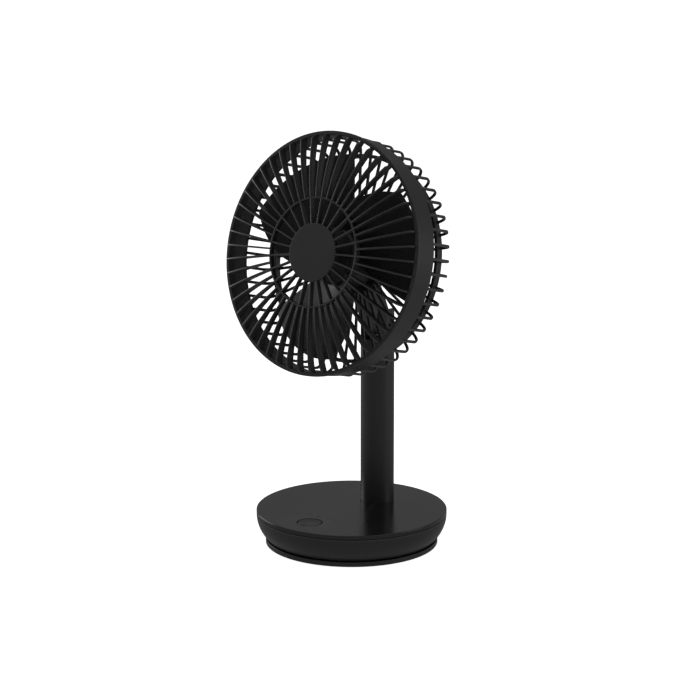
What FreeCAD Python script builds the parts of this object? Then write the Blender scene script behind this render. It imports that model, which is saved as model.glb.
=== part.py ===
"""Rechargeable desk fan: a swivelling round base, a column, a tilting arm and a round caged head.

Frame: millimetres, +Z up, the fan blows towards -Y, origin on the floor at the centre of the base.
The head's pieces are drawn in the head's own frame: its Z is the fan axis, positive to the front, and
its origin is the centre of the shroud's front edge.
"""
import FreeCAD, Part
import math
import os

import Sketcher

V = FreeCAD.Vector
DOC = FreeCAD.newDocument("DeskFan")
SHEET = DOC.addObject("Spreadsheet::Sheet", "Sizes")

# Driving sizes: alias, value, meaning. Millimetres and degrees.
DRIVING = [
    ("base_radius", 75, "top plate and widest part of the base"),
    ("base_height", 27.7, "top of the base above the floor"),
    ("side_radius", 25.5, "curve of the bowl's side"),
    ("bowl_bottom", 5, "underside of the bowl above the floor"),
    ("bowl_wall", 2.2, "bowl wall"),
    ("floor_thickness", 2, "bowl floor"),
    ("seam_height", 24.2, "where the top plate meets the bowl"),
    ("seam_gap", 0.5, "shadow groove at the seam"),
    ("cover_thickness", 2.4, "top plate"),
    ("edge_round", 0.7, "rounding of outer edges"),
    ("seam_inset", 0.9, "depth of the groove at the seam"),
    ("lip_gap", 0.3, "top plate's lip inside the bowl"),
    ("lip_width", 1.5, "top plate's lip"),
    ("lip_height", 2.2, "top plate's lip below the seam"),
    ("foot_radius", 67.8, "foot ring"),
    ("foot_height", 4.2, "top of the foot ring's rim"),
    ("foot_floor", 2.8, "top of the foot ring's plate"),
    ("foot_rim", 4, "width of the foot ring's rim"),
    ("foot_underside", 0.4, "plate above the floor"),
    ("foot_edge", 0.4, "rounding of the foot's lower edge"),
    ("pad_width", 8, "rubber ring under the foot"),
    ("pad_inset", 2.8, "rubber ring from the foot's edge"),
    ("pad_depth", 0.8, "groove that holds the rubber ring"),
    ("post_radius", 9, "post that the base turns on"),
    ("post_height", 16.5, "top of the post"),
    ("post_thread", 9, "threaded hole in the post"),
    ("hub_wall", 4, "bowl's hub round the post"),
    ("washer_width", 9, "slip washer under the bowl"),
    ("washer_inset", 3, "slip washer from the hub's bore"),
    ("running_gap", 0.05, "radial clearance of turning fits"),
    ("fit_gap", 0.1, "clearance between pieces that do not move"),
    ("gear_module", 0.9, "swivel gears"),
    ("sun_teeth", 30, "fixed gear"),
    ("pinion_teeth", 15, "motor pinion"),
    ("gear_width", 3, "swivel gears"),
    ("gear_backlash", 0.22, "thinning of each tooth"),
    ("pressure_angle", 20, "gear flanks"),
    ("tooth_head", 0.8, "tooth above the pitch circle, in modules"),
    ("tooth_foot", 1.1, "tooth below the pitch circle, in modules"),
    ("gear_screw_length", 11, "screw of the fixed gear"),
    ("motor_radius", 13, "swivel motor"),
    ("motor_shaft_offset", 8, "swivel motor's shaft from its centre"),
    ("motor_shaft_radius", 1.5, "swivel motor's shaft"),
    ("motor_shaft_depth", 5.5, "swivel motor's shaft inside the motor"),
    ("ear_reach", 17.5, "swivel motor's screw holes from its centre"),
    ("ear_radius", 3.5, "swivel motor's ears"),
    ("ear_thickness", 1, "swivel motor's ears"),
    ("ear_screw_length", 6, "screws in the ears"),
    ("boss_inset", 17, "cover screws from the base's edge"),
    ("boss_radius", 3.6, "screw bosses"),
    ("boss_height", 11, "cover screws' bosses above the bowl's floor"),
    ("pillar_radius", 3, "pillars under the board and the motor's ears"),
    ("hole_gap", 0.25, "screw holes, radial"),
    ("skin", 1.2, "top plate left over a screw's end"),
    ("overlap", 0.5, "how far a boss runs into the wall that it stands on"),
    ("screw_radius", 1.45, "M3 screws"),
    ("screw_head_radius", 2.8, "M3 screw heads"),
    ("screw_head_height", 1.8, "M3 screw heads"),
    ("drive_share", 0.6, "cross recess, as a share of the shank and the head"),
    ("head_gap", 0.3, "counterbores round screw heads"),
    ("sink_depth", 1, "cover screws' heads above the bowl's underside"),
    ("button_offset", 50.8, "power button ahead of the centre"),
    ("button_radius", 9.3, "power button"),
    ("button_gap", 0.9, "ring groove round the button"),
    ("button_flange", 1.9, "button's flange beyond its top"),
    ("button_collar", 1.8, "collar round the flange"),
    ("flange_depth", 2, "collar under the top plate"),
    ("stem_radius", 2.4, "button's stem"),
    ("button_dish", 140, "curve of the button's top"),
    ("button_travel", 0.6, "power button's stroke"),
    ("lamp_offset", 34.8, "row of lamps ahead of the centre"),
    ("lamp_pitch", 8.74, "between lamps"),
    ("lamp_radius", 1, "lamps"),
    ("lamp_count", 4, "lamps"),
    ("board_width", 56, "main board"),
    ("board_length", 30, "main board"),
    ("board_thickness", 1.6, "main board"),
    ("board_height", 16.8, "underside of the main board"),
    ("board_screw_length", 7, "main board's screws"),
    ("screw_margin", 4, "main board's screws from its sides"),
    ("board_screw_shift", 6, "main board's screws behind the button"),
    ("board_back", 5, "main board behind the lamps"),
    ("switch_half", 3, "push switch, half its side"),
    ("switch_height", 3.5, "push switch"),
    ("plunger_radius", 1.7, "push switch's plunger"),
    ("plunger_rise", 1, "plunger above the switch"),
    ("plunger_bore", 2, "bore in the push switch"),
    ("chip_length", 2, "lamp chips"),
    ("chip_width", 1.6, "lamp chips"),
    ("chip_height", 0.8, "lamp chips"),
    ("pipe_gap", 1, "light pipes above the board"),
    ("battery_thickness", 10, "battery pack"),
    ("battery_length", 54, "battery pack"),
    ("battery_corner", 3, "battery pack's upright edges"),
    ("foam_inset", 2, "foam inside the battery's edge"),
    ("foam_thickness", 0.8, "foam under the battery"),
    ("inner_clearance", 2.2, "between the battery and the walls"),
    ("socket_width", 8.94, "charging socket"),
    ("socket_height", 3.26, "charging socket"),
    ("socket_depth", 8.2, "charging socket"),
    ("socket_wall", 0.4, "charging socket shell"),
    ("socket_centre", 12.3, "charging socket above the floor"),
    ("socket_gap", 0.3, "bowl round the charging socket"),
    ("socket_recess", 1.6, "socket's mouth inside the bowl, in bowl walls"),
    ("tongue_width", 6.2, "charging socket's tongue"),
    ("tongue_height", 0.7, "charging socket's tongue"),
    ("tongue_inset", 1, "tongue's tip inside the mouth, and the socket's back wall"),
    ("charge_half", 8, "charging board, half its width"),
    ("charge_length", 14, "charging board"),
    ("charge_thickness", 1.2, "charging board"),
    ("charge_margin", 1.5, "charging board from the bowl's wall"),
    ("charge_pillar", 2, "charging board's pillars"),
    ("charge_pillar_x", 5, "charging board's pillars from the middle"),
    ("charge_pillar_y", 12, "charging board's pillars from the wall"),
    ("column_offset", 31.7, "column axis behind the centre"),
    ("column_radius", 13.25, "column"),
    ("column_wall", 1.6, "column tube"),
    ("column_foot", 16, "lower end of the column tube"),
    ("tube_top", 150, "upper end of the column tube"),
    ("flange_radius", 24, "clamp flange under the top plate"),
    ("flange_thickness", 2, "clamp flange"),
    ("flange_circle", 20, "clamp screws"),
    ("flange_drop", 3, "pad that the flange is screwed to"),
    ("flange_socket", 2.2, "wall of the flange's socket"),
    ("flange_floor", 2, "floor of the flange's socket"),
    ("flange_bore", 6, "cable way through the flange"),
    ("plug_depth", 20, "fork's plug in the tube"),
    ("fork_bore", 4, "cable way through the fork"),
    ("fork_top", 184, "top of the fork's ears"),
    ("fork_round", 2.1, "rounding of the fork's top"),
    ("slot_bottom", 160.5, "floor of the fork's slot"),
    ("hinge_height", 172, "tilt axis above the floor"),
    ("hinge_radius", 2, "tilt bolt"),
    ("hinge_head_radius", 3.6, "tilt bolt's head"),
    ("hinge_sink", 1.9, "recess of the bolt's head and nut"),
    ("hinge_head_height", 1.3, "tilt bolt's head"),
    ("hinge_nut_height", 1.4, "tilt bolt's nut"),
    ("hinge_socket", 1.2, "hexagon key's hole in the bolt, as a round"),
    ("hinge_tail", 1, "bolt past the nut's seat"),
    ("friction_thickness", 0.8, "friction washers"),
    ("friction_radius", 8, "friction washers"),
    ("arm_width", 16.5, "tilt arm"),
    ("knuckle_radius", 9, "tilt arm round the bolt"),
    ("arm_drop", 47.3, "tilt axis below the fan axis"),
    ("arm_back", 84.6, "tilt axis behind the shroud's front edge"),
    ("tilt_angle", 15.1, "fan axis above level at rest"),
    ("ring_radius", 94.5, "bezel outside"),
    ("bezel_width", 3.2, "bezel's front face"),
    ("bezel_depth", 2.6, "bezel"),
    ("bezel_round", 0.9, "rounding of the bezel's outer edge"),
    ("lip_step", 1.3, "bezel stands out from the shroud"),
    ("lap_depth", 3.4, "laps of the bezel and the cage inside the shroud"),
    ("lap_width", 0.75, "laps of the bezel and the cage"),
    ("shroud_depth", 21.8, "shroud's rear edge behind the bezel's front"),
    ("shroud_taper", 0.4, "shroud narrows to the rear"),
    ("shroud_wall", 1.5, "shroud"),
    ("dome_height", 9.85, "front grille ahead of the bezel"),
    ("dome_mid_drop", 1, "dome lower than its middle, half way out"),
    ("dome_edge", 5, "outer end of the ribs' curve ahead of the bezel"),
    ("ring_drop", 0.3, "middle ring below the dome's top"),
    ("dome_inset", 2, "outer end of the ribs' curve from the shroud's inside"),
    ("rib_shoulder", 6, "bend from the ribs' curve down into the bezel"),
    ("rib_foot", 3.2, "lower end of the ribs behind the bezel's front"),
    ("badge_radius", 22.6, "plain centre plate"),
    ("badge_thickness", 3, "plain centre plate"),
    ("badge_bevel", 0.6, "edge of the centre plate"),
    ("mid_ring_radius", 42.1, "front grille's middle ring"),
    ("mid_ring_width", 1.7, "front grille's middle ring"),
    ("rib_width", 1.4, "front ribs"),
    ("rib_depth", 4.2, "front ribs at the middle ring"),
    ("rib_root", 0.8, "how far ribs run into what they join"),
    ("inner_rib_count", 25, "front ribs inside the middle ring"),
    ("outer_rib_count", 50, "front ribs outside it, and rear ribs"),
    ("cage_depth", 47.7, "back of the rear cage behind the bezel's front"),
    ("cage_rib_width", 2.2, "rear ribs"),
    ("cage_rib_depth", 1.8, "rear ribs"),
    ("cage_corner", 8.5, "bend of the rear ribs"),
    ("cage_inset", 1.1, "rear ribs' bend from the shroud's outside"),
    ("cage_ring_inset", 14.7, "rear cage's ring from the bezel's outside"),
    ("cage_ring_width", 2.8, "rear cage's ring"),
    ("cage_ring_depth", 6.4, "rear cage's ring"),
    ("plate_radius", 27, "motor plate in the rear cage"),
    ("plate_thickness", 3, "motor plate"),
    ("cup_radius", 26, "motor cup behind the cage"),
    ("cup_depth", 11, "motor cup"),
    ("cup_wall", 2, "motor cup"),
    ("cup_round", 2.1, "rounding of the cup's rear edge"),
    ("cup_circle", 19.5, "motor cup's screws"),
    ("bearing_radius", 4, "bearings outside"),
    ("bearing_width", 3, "bearings"),
    ("bearing_inset", 1, "bearings from the tube's ends"),
    ("bearing_gap", 0.02, "bearings on the shaft and in the tube"),
    ("tube_wall", 2, "bearing tube"),
    ("tube_length", 16, "bearing tube"),
    ("shaft_radius", 1.5, "rotor shaft"),
    ("can_radius", 20.5, "rotor can"),
    ("can_wall", 0.9, "rotor can"),
    ("can_length", 16, "front of the rotor can before the motor plate"),
    ("can_front", 1.2, "rotor can's front wall"),
    ("magnet_thickness", 1.2, "magnet ring"),
    ("magnet_margin", 0.5, "magnet ring past the stator's ends"),
    ("air_gap", 0.5, "magnet to stator"),
    ("stator_low", 3, "stator before the motor plate"),
    ("stator_length", 9, "stator"),
    ("stator_ring", 3, "stator's ring"),
    ("pole_count", 9, "stator poles"),
    ("pole_half", 1.5, "stator pole's neck, half its width"),
    ("shoe_depth", 1, "stator pole's shoe"),
    ("shoe_slope", 1.2, "slope behind the shoe"),
    ("shoe_share", 0.82, "share of the rim that the shoes cover"),
    ("coil_wall", 1, "winding"),
    ("coil_gap", 0.1, "winding from the pole"),
    ("coil_end", 1.2, "winding past the stator's ends"),
    ("coil_margin", 0.3, "winding from the stator's ring"),
    ("driver_thickness", 1.2, "round driver board"),
    ("driver_gap", 0.2, "driver board from the motor plate"),
    ("driver_margin", 1.5, "driver board inside the rotor can"),
    ("impeller_hub_wall", 2, "impeller's hub"),
    ("hub_gap", 0.3, "impeller's hub round the rotor can"),
    ("hub_round", 4, "rounding of the hub's front edge"),
    ("hub_front", 14, "front of the impeller's hub behind the bezel's front"),
    ("hub_back", 42, "rear of the impeller's hub"),
    ("hub_boss", 5, "hub's boss on the can"),
    ("hub_chamfer", 1.5, "inside corner of the hub"),
    ("shaft_tail", 3.5, "shaft ahead of the hub"),
    ("front_rib_turn", 90.5, "where the first front rib stands"),
    ("rear_rib_turn", -0.5, "where the first rear rib stands"),
    ("blade_count", 3, "blades"),
    ("blade_front", 12, "blades' front edge behind the bezel's front"),
    ("blade_rear", 36, "blades' rear edge"),
    ("blade_wrap", 86.7, "turn of a blade from rear to front at its middle"),
    ("blade_thickness", 1.6, "blades"),
    ("blade_phase", 20.4, "where the first blade stands"),
    ("blade_middle", 55, "radius at which the wrap and the phase are taken"),
    ("blade_reach", 30, "distance over which they change"),
    ("blade_twist", 0.3, "share of the wrap lost over that distance"),
    ("blade_sweep", 0.19, "sweep back over that distance, in radians"),
    ("tip_gap", 10.8, "blade tips from the shroud's inside"),
    ("nut_radius", 6, "impeller nut"),
    ("nut_height", 5, "impeller nut"),
    ("nut_round", 2, "impeller nut's edge"),
    ("nut_gap", 0.1, "shaft's end inside the nut"),
]


class Size:
    """A length with its formula, so that what is bound to it follows the sheet."""

    def __init__(self, value, text):
        self.value = float(value)
        self.text = text

    def joined(self, other, sign, result):
        """Return the size that an operation gives."""
        return Size(result, f"({self.text} {sign} {formula(other)})")

    def __add__(self, other):
        return self.joined(other, "+", self.value + number(other))

    def __sub__(self, other):
        return self.joined(other, "-", self.value - number(other))

    def __mul__(self, other):
        return self.joined(other, "*", self.value * number(other))

    def __truediv__(self, other):
        return self.joined(other, "/", self.value / number(other))

    def __radd__(self, other):
        return self + other

    def __rsub__(self, other):
        return -self + other

    def __rmul__(self, other):
        return self * other

    def __neg__(self):
        return Size(-self.value, f"(0 - {self.text})")


class Sizes:
    """The sheet's cells as sizes, by alias."""

    def __getattr__(self, alias):
        return Size(getattr(SHEET, alias), f"Sizes.{alias}")


def number(size):
    """Return the plain value of a size or number."""
    return size.value if isinstance(size, Size) else float(size)


def formula(size):
    """Return the formula text of a size or number."""
    return size.text if isinstance(size, Size) else f"{float(size):.9g}"


def root(size):
    """Return the square root of a size."""
    return Size(math.sqrt(size.value), f"sqrt({size.text})")


def fill_sheet():
    """Write the driving sizes and where the head stands."""
    placed = [
        ("head_y", "=column_offset + arm_drop * sin(tilt_angle) - arm_back * cos(tilt_angle)", "head origin"),
        ("head_z", "=hinge_height + arm_drop * cos(tilt_angle) + arm_back * sin(tilt_angle)", "head origin"),
        ("head_turn", "=90 - tilt_angle", "head frame about X"),
    ]
    for row, (alias, value, meaning) in enumerate(DRIVING + placed, start=1):
        SHEET.set(f"A{row}", meaning)
        SHEET.set(f"B{row}", str(value))
        SHEET.setAlias(f"B{row}", alias)
    DOC.recompute()


fill_sheet()
S = Sizes()


def bind(thing, path, size):
    """Tie one property to a size."""
    if isinstance(size, Size):
        thing.setExpression(path, size.text)


# ---------------------------------------------------------------- frames

def at_origin(piece):
    """Leave a piece of the base in the fan's own frame."""


def at_column(piece):
    """Stand a piece on the column's axis."""
    bind(piece, "Placement.Base.y", S.column_offset)


def at_hinge(piece):
    """Lay a piece's own Z along the tilt axis, which is the fan's X."""
    piece.Placement = FreeCAD.Placement(V(0, 0, 0), FreeCAD.Rotation(V(0, 1, 0), 90))
    bind(piece, "Placement.Base.y", S.column_offset)
    bind(piece, "Placement.Base.z", S.hinge_height)


def in_head(piece):
    """Put a piece in the head's frame."""
    turn = FreeCAD.Rotation(V(1, 0, 0), number(S.head_turn))
    piece.Placement = FreeCAD.Placement(V(0, number(S.head_y), number(S.head_z)), turn)
    if piece.TypeId == "Part::Feature":
        return
    bind(piece, "Placement.Base.y", S.head_y)
    bind(piece, "Placement.Base.z", S.head_z)
    piece.setExpression("Placement.Rotation.Angle", "Sizes.head_turn * 1 deg")


# ---------------------------------------------------------------- building blocks

def new_body(label, frame=at_origin):
    """Return an empty body in its frame."""
    body = DOC.addObject("PartDesign::Body", label)
    body.Label = label
    frame(body)
    return body


def new_sketch(body, role="XZ_Plane", offset=0, turn=0):
    """Return a sketch on one of the body's own planes, raised and turned about the plane's own Y."""
    about = FreeCAD.Rotation(V(0, 1, 0), number(turn))
    plane = next(part for part in body.Origin.OriginFeatures if part.Role == role)
    sketch = body.newObject("Sketcher::SketchObject", f"{body.Label}_sketch")
    sketch.AttachmentSupport = [(plane, "")]
    sketch.MapMode = "FlatFace"
    sketch.AttachmentOffset = FreeCAD.Placement(V(0, 0, number(offset)), about)
    bind(sketch, "AttachmentOffset.Base.z", offset)
    if isinstance(turn, Size):
        sketch.setExpression("AttachmentOffset.Rotation.Angle", f"{turn.text} * 1 deg")
    return sketch


def pin_down(sketch, item, end, point):
    """Fix one end of a sketch line at a point."""
    for axis, size in enumerate(point):
        if number(size) == 0 and not isinstance(size, Size):
            sketch.addConstraint(Sketcher.Constraint("PointOnObject", item, end, -2 if axis == 0 else -1))
            continue
        kind = "DistanceX" if axis == 0 else "DistanceY"
        index = sketch.addConstraint(Sketcher.Constraint(kind, -1, 1, item, end, number(size)))
        bind(sketch, f"Constraints[{index}]", size)


def arc_through(start, finish, radius, turn):
    """Return the arc from start to finish, turning left (+1) or right (-1)."""
    chord = finish - start
    rise = math.sqrt(max(radius ** 2 - (chord.Length / 2) ** 2, 0))
    side = V(-chord.y, chord.x, 0).normalize() * rise * turn
    centre = (start + finish) * 0.5 + side
    first = math.atan2(start.y - centre.y, start.x - centre.x)
    last = math.atan2(finish.y - centre.y, finish.x - centre.x)
    circle = Part.Circle(centre, V(0, 0, 1), radius)
    return Part.ArcOfCircle(circle, first, last) if turn > 0 else Part.ArcOfCircle(circle, last, first)


def outline(sketch, points, arcs=None):
    """Draw a closed outline; arcs gives radius and turn for the stretch that starts at a point."""
    arcs = arcs or {}
    spots = [V(number(x), number(y), 0) for x, y in points]
    ends = []
    for index, spot in enumerate(spots):
        following = spots[(index + 1) % len(spots)]
        if index in arcs:
            radius, turn = arcs[index]
            item = sketch.addGeometry(arc_through(spot, following, number(radius), turn))
            ends.append((item, 1, 2) if turn > 0 else (item, 2, 1))
            rule = sketch.addConstraint(Sketcher.Constraint("Radius", item, number(radius)))
            bind(sketch, f"Constraints[{rule}]", radius)
        else:
            item = sketch.addGeometry(Part.LineSegment(spot, following))
            ends.append((item, 1, 2))
    for index, (item, first, _) in enumerate(ends):
        before, _, last = ends[index - 1]
        sketch.addConstraint(Sketcher.Constraint("Coincident", before, last, item, first))
        pin_down(sketch, item, first, points[index])


def circle(sketch, radius, x=0, y=0):
    """Draw a circle."""
    centre = V(number(x), number(y), 0)
    item = sketch.addGeometry(Part.Circle(centre, V(0, 0, 1), number(radius)))
    rule = sketch.addConstraint(Sketcher.Constraint("Radius", item, number(radius)))
    bind(sketch, f"Constraints[{rule}]", radius)
    pin_down(sketch, item, 3, (x, y))


def oblong(sketch, low, high):
    """Draw a rectangle between two corners."""
    outline(sketch, [low, (high[0], low[1]), high, (low[0], high[1])])


def feature(body, kind, sketch):
    """Add a feature that works on a sketch."""
    made = body.newObject(f"PartDesign::{kind}", f"{body.Label}_{kind}")
    made.Profile = sketch
    return made


def revolve(body, sketch, axis="V_Axis"):
    """Turn a sketch right round."""
    made = feature(body, "Revolution", sketch)
    made.ReferenceAxis = (sketch, [axis])
    made.Angle = 360
    return made


def pad(body, sketch, length, middle=False):
    """Thicken a sketch."""
    made = feature(body, "Pad", sketch)
    made.Midplane = middle
    made.Length = number(length)
    bind(made, "Length", length)
    return made


def pocket(body, sketch, length, up=True, middle=False):
    """Cut a sketch into the body, upwards or downwards from its plane."""
    made = feature(body, "Pocket", sketch)
    made.Midplane = middle
    made.Reversed = up
    made.Length = number(length)
    bind(made, "Length", length)
    return made


def around(body, original, count):
    """Repeat a feature about the body's Z."""
    axis = next(part for part in body.Origin.OriginFeatures if part.Role == "Z_Axis")
    made = body.newObject("PartDesign::PolarPattern", f"{body.Label}_pattern")
    made.Originals = [original]
    made.Axis = (axis, [""])
    made.Angle = 360
    made.Occurrences = int(number(count))
    bind(made, "Occurrences", count)
    body.Tip = made


def ring_body(label, inner, outer, low, high, frame=at_origin):
    """Return a plain ring."""
    body = new_body(label, frame)
    sketch = new_sketch(body)
    oblong(sketch, (inner, low), (outer, high))
    revolve(body, sketch)
    return body


def box_body(label, low, high, frame=at_origin):
    """Return a box between two corners."""
    body = new_body(label, frame)
    sketch = new_sketch(body, "XY_Plane", low[2])
    oblong(sketch, low[:2], high[:2])
    pad(body, sketch, high[2] - low[2])
    return body


def screw_set(label, frame, circle_radius, count, seat, length, up=True, first=0):
    """Make a ring of screws: heads on one side of seat, shanks on the other."""
    shank = S.screw_radius
    body = new_body(label, frame)
    sketch = new_sketch(body, turn=first)
    sign = 1 if up else -1
    top = seat - S.screw_head_height * sign
    drive = shank * S.drive_share
    drive_floor = top + S.screw_head_height * S.drive_share * sign
    tip = seat + length * sign
    rim = circle_radius + S.screw_head_radius
    low_end = V(number(circle_radius), 0, 0)
    high_end = V(number(circle_radius), number(S.screw_radius), 0)
    axis = sketch.addGeometry(Part.LineSegment(low_end, high_end), True)
    pin_down(sketch, axis, 1, (circle_radius, 0))
    pin_down(sketch, axis, 2, (circle_radius, S.screw_radius))
    outline(sketch, [(circle_radius, drive_floor), (circle_radius + drive, drive_floor),
                     (circle_radius + drive, top), (rim, top), (rim, seat), (circle_radius + shank, seat),
                     (circle_radius + shank, tip), (circle_radius, tip)])
    around(body, revolve(body, sketch, "Axis0"), count)


def bosses(body, offset, length, radius, spots):
    """Add round bosses at the given spots, from one height upwards."""
    sketch = new_sketch(body, "XY_Plane", offset)
    for x, y in spots:
        circle(sketch, radius, x, y)
    pad(body, sketch, length)


def holes(body, offset, length, radius, spots, up=True):
    """Cut round holes at the given spots."""
    sketch = new_sketch(body, "XY_Plane", offset)
    for x, y in spots:
        circle(sketch, radius, x, y)
    pocket(body, sketch, length, up)


def four_spots(reach):
    """Return four spots on the diagonals at one distance from the axis."""
    leg = reach * math.sqrt(0.5)
    return [(leg, leg), (-leg, leg), (-leg, -leg), (leg, -leg)]


def add_solid(label, shape, frame):
    """Store a shape that is worked out in code as a sub-part."""
    piece = DOC.addObject("Part::Feature", label)
    piece.Label = label
    piece.Shape = shape
    frame(piece)
    return piece


# ---------------------------------------------------------------- places shared by several pieces

ARC_CENTRE = S.base_radius - S.side_radius
BOWL_FLOOR = S.bowl_bottom + S.floor_thickness
INNER_ARC = S.side_radius - S.bowl_wall
INNER_DROP = S.seam_height - BOWL_FLOOR
FLOOR_EDGE = ARC_CENTRE + root(INNER_ARC * INNER_ARC - INNER_DROP * INNER_DROP)
HUB_BORE = S.post_radius + S.running_gap
HUB_OUTER = HUB_BORE + S.hub_wall
HUB_TOP = S.post_height - S.fit_gap
COVER_UNDER = S.base_height - S.cover_thickness
BOSS_TOP = BOWL_FLOOR + S.boss_height
BOSS_REACH = S.base_radius - S.boss_inset
COUNTERBORE = S.screw_head_height + S.sink_depth
PILOT = S.screw_radius + S.running_gap
HOLE = S.screw_radius + S.hole_gap
PAD_OUTER = S.foot_radius - S.pad_inset
PAD_INNER = PAD_OUTER - S.pad_width
SUN_RADIUS = S.gear_module * S.sun_teeth / 2
PINION_RADIUS = S.gear_module * S.pinion_teeth / 2
PINION_X = -(SUN_RADIUS + PINION_RADIUS)
MOTOR_X = PINION_X - S.motor_shaft_offset
MOTOR_TOP = S.post_height - S.overlap
EAR_SPOTS = [(MOTOR_X, S.ear_reach), (MOTOR_X, -S.ear_reach)]
BOARD_TOP = S.board_height + S.board_thickness
BOARD_SCREW_X = S.board_width / 2 - S.screw_margin
BOARD_SCREW_Y = S.board_screw_shift - S.button_offset
BOARD_SPOTS = [(BOARD_SCREW_X, BOARD_SCREW_Y), (-BOARD_SCREW_X, BOARD_SCREW_Y)]
PAD_HEIGHT = COVER_UNDER - S.flange_drop
BUTTON_FLANGE = S.button_radius + S.button_flange
SWITCH_TOP = BOARD_TOP + S.switch_height
PLUNGER_TOP = SWITCH_TOP + S.plunger_rise
SLOT_HALF = S.arm_width / 2 + S.friction_thickness + S.running_gap
SHROUD_OUTER = S.ring_radius - S.lip_step
SHROUD_REAR = SHROUD_OUTER - S.shroud_taper
SHROUD_INNER = SHROUD_REAR - S.shroud_wall
LAP_OUTER = SHROUD_INNER + S.lap_width
LAP_SEAT = LAP_OUTER + S.fit_gap
SHROUD_BACK = -S.shroud_depth
CAGE_OUTER = SHROUD_OUTER - S.cage_inset
CAGE_BACK = -S.cage_depth
PLATE_FRONT = CAGE_BACK + S.plate_thickness
CUP_FLOOR = CAGE_BACK - S.cup_depth
TUBE_OUTER = S.bearing_radius + S.tube_wall
CAN_FRONT = PLATE_FRONT + S.can_length
STATOR_LOW = PLATE_FRONT + S.stator_low
STATOR_HIGH = STATOR_LOW + S.stator_length
CAN_INNER = S.can_radius - S.can_wall
MAGNET_INNER = CAN_INNER - S.magnet_thickness
STATOR_OUTER = MAGNET_INNER - S.air_gap
HUB_FRONT = -S.hub_front
IMPELLER_INNER = S.can_radius + S.hub_gap
IMPELLER_RADIUS = IMPELLER_INNER + S.impeller_hub_wall
SHAFT_END = HUB_FRONT + S.shaft_tail
TIP_RADIUS = SHROUD_INNER - S.tip_gap
RING_TOP = S.dome_height - S.ring_drop


# ---------------------------------------------------------------- stand

def foot_plate():
    """Round foot with a groove for the rubber ring and the post that the base turns on."""
    body = new_body("foot_plate")
    sketch = new_sketch(body)
    low = S.foot_underside
    groove = low + S.pad_depth
    edge = S.foot_edge
    rim = S.foot_radius - S.foot_rim
    pilot_floor = S.post_height - S.post_thread
    outline(sketch, [
        (0, low), (PAD_INNER, low), (PAD_INNER, groove), (PAD_OUTER, groove), (PAD_OUTER, low),
        (S.foot_radius - edge, low), (S.foot_radius, low + edge), (S.foot_radius, S.foot_height),
        (rim, S.foot_height), (rim, S.foot_floor), (S.post_radius, S.foot_floor), (S.post_radius, S.post_height),
        (PILOT, S.post_height), (PILOT, pilot_floor), (0, pilot_floor)], {5: (edge, 1)})
    revolve(body, sketch)


def foot_pad():
    """Rubber ring that the fan stands on."""
    ring_body("foot_pad", PAD_INNER + S.running_gap, PAD_OUTER - S.running_gap, 0,
              S.foot_underside + S.pad_depth)


def thrust_washer():
    """Slip washer between the foot and the bowl."""
    inner = HUB_BORE + S.washer_inset
    ring_body("thrust_washer", inner, inner + S.washer_width, S.foot_floor, S.bowl_bottom - S.running_gap)


FLANK_STEPS = 5
HALF_TURN = 180
QUARTER_TURN = 90
EIGHTH_TURN = 45


def involute(base, radius, start):
    """Return a point on a gear flank at one radius, from the angle where it leaves the base circle."""
    roll = math.sqrt(max((radius / base) ** 2 - 1, 0))
    return start + roll - math.atan(roll)


def gear_shape(teeth, bore, first, x=0):
    """Return a spur gear on the post's height, with the middle of a tooth at an angle in degrees."""
    module = number(S.gear_module)
    width = number(S.gear_width)
    pitch = module * teeth / 2
    base = pitch * math.cos(math.radians(number(S.pressure_angle)))
    tip = pitch + number(S.tooth_head) * module
    foot = pitch - number(S.tooth_foot) * module
    half = (math.pi * module / 2 - number(S.gear_backlash)) / 2 / pitch
    start = -half - involute(base, pitch, 0)
    lowest = max(base, foot)
    flank = [lowest + (tip - lowest) * step / FLANK_STEPS for step in range(FLANK_STEPS + 1)]
    points = []
    for tooth in range(teeth):
        middle = math.radians(first) + 2 * math.pi * tooth / teeth
        rising = [(radius, middle + involute(base, radius, start)) for radius in flank]
        falling = [(radius, 2 * middle - angle) for radius, angle in reversed(rising)]
        rising.insert(0, (foot, rising[0][1]))
        falling.append((foot, falling[-1][1]))
        points += rising + falling
    spots = [V(radius * math.cos(angle), radius * math.sin(angle), 0) for radius, angle in points]
    rim = Part.makePolygon(spots + spots[:1])
    gear = Part.Face(rim).extrude(V(0, 0, width)).cut(Part.makeCylinder(number(bore), width))
    gear.translate(V(number(x), 0, number(S.post_height)))
    return gear


def sun_gear():
    """Fixed gear screwed on the post; it also keeps the bowl down."""
    teeth = int(number(S.sun_teeth))
    add_solid("sun_gear", gear_shape(teeth, PILOT + S.fit_gap, HALF_TURN), at_origin)


def swivel_screw():
    """Screw that holds the fixed gear on the post."""
    body = new_body("swivel_screw")
    sketch = new_sketch(body)
    seat = S.post_height + S.gear_width
    tip = seat - S.gear_screw_length
    head = S.screw_head_radius + S.sink_depth
    top = seat + S.screw_head_height
    drive = S.screw_radius * S.drive_share
    drive_floor = top - S.screw_head_height * S.drive_share
    edge = S.screw_head_height / 4
    outline(sketch, [(0, tip), (S.screw_radius, tip), (S.screw_radius, seat), (head, seat), (head, top - edge),
                     (head - edge, top), (drive, top), (drive, drive_floor), (0, drive_floor)])
    revolve(body, sketch)


# ---------------------------------------------------------------- base shell

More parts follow.
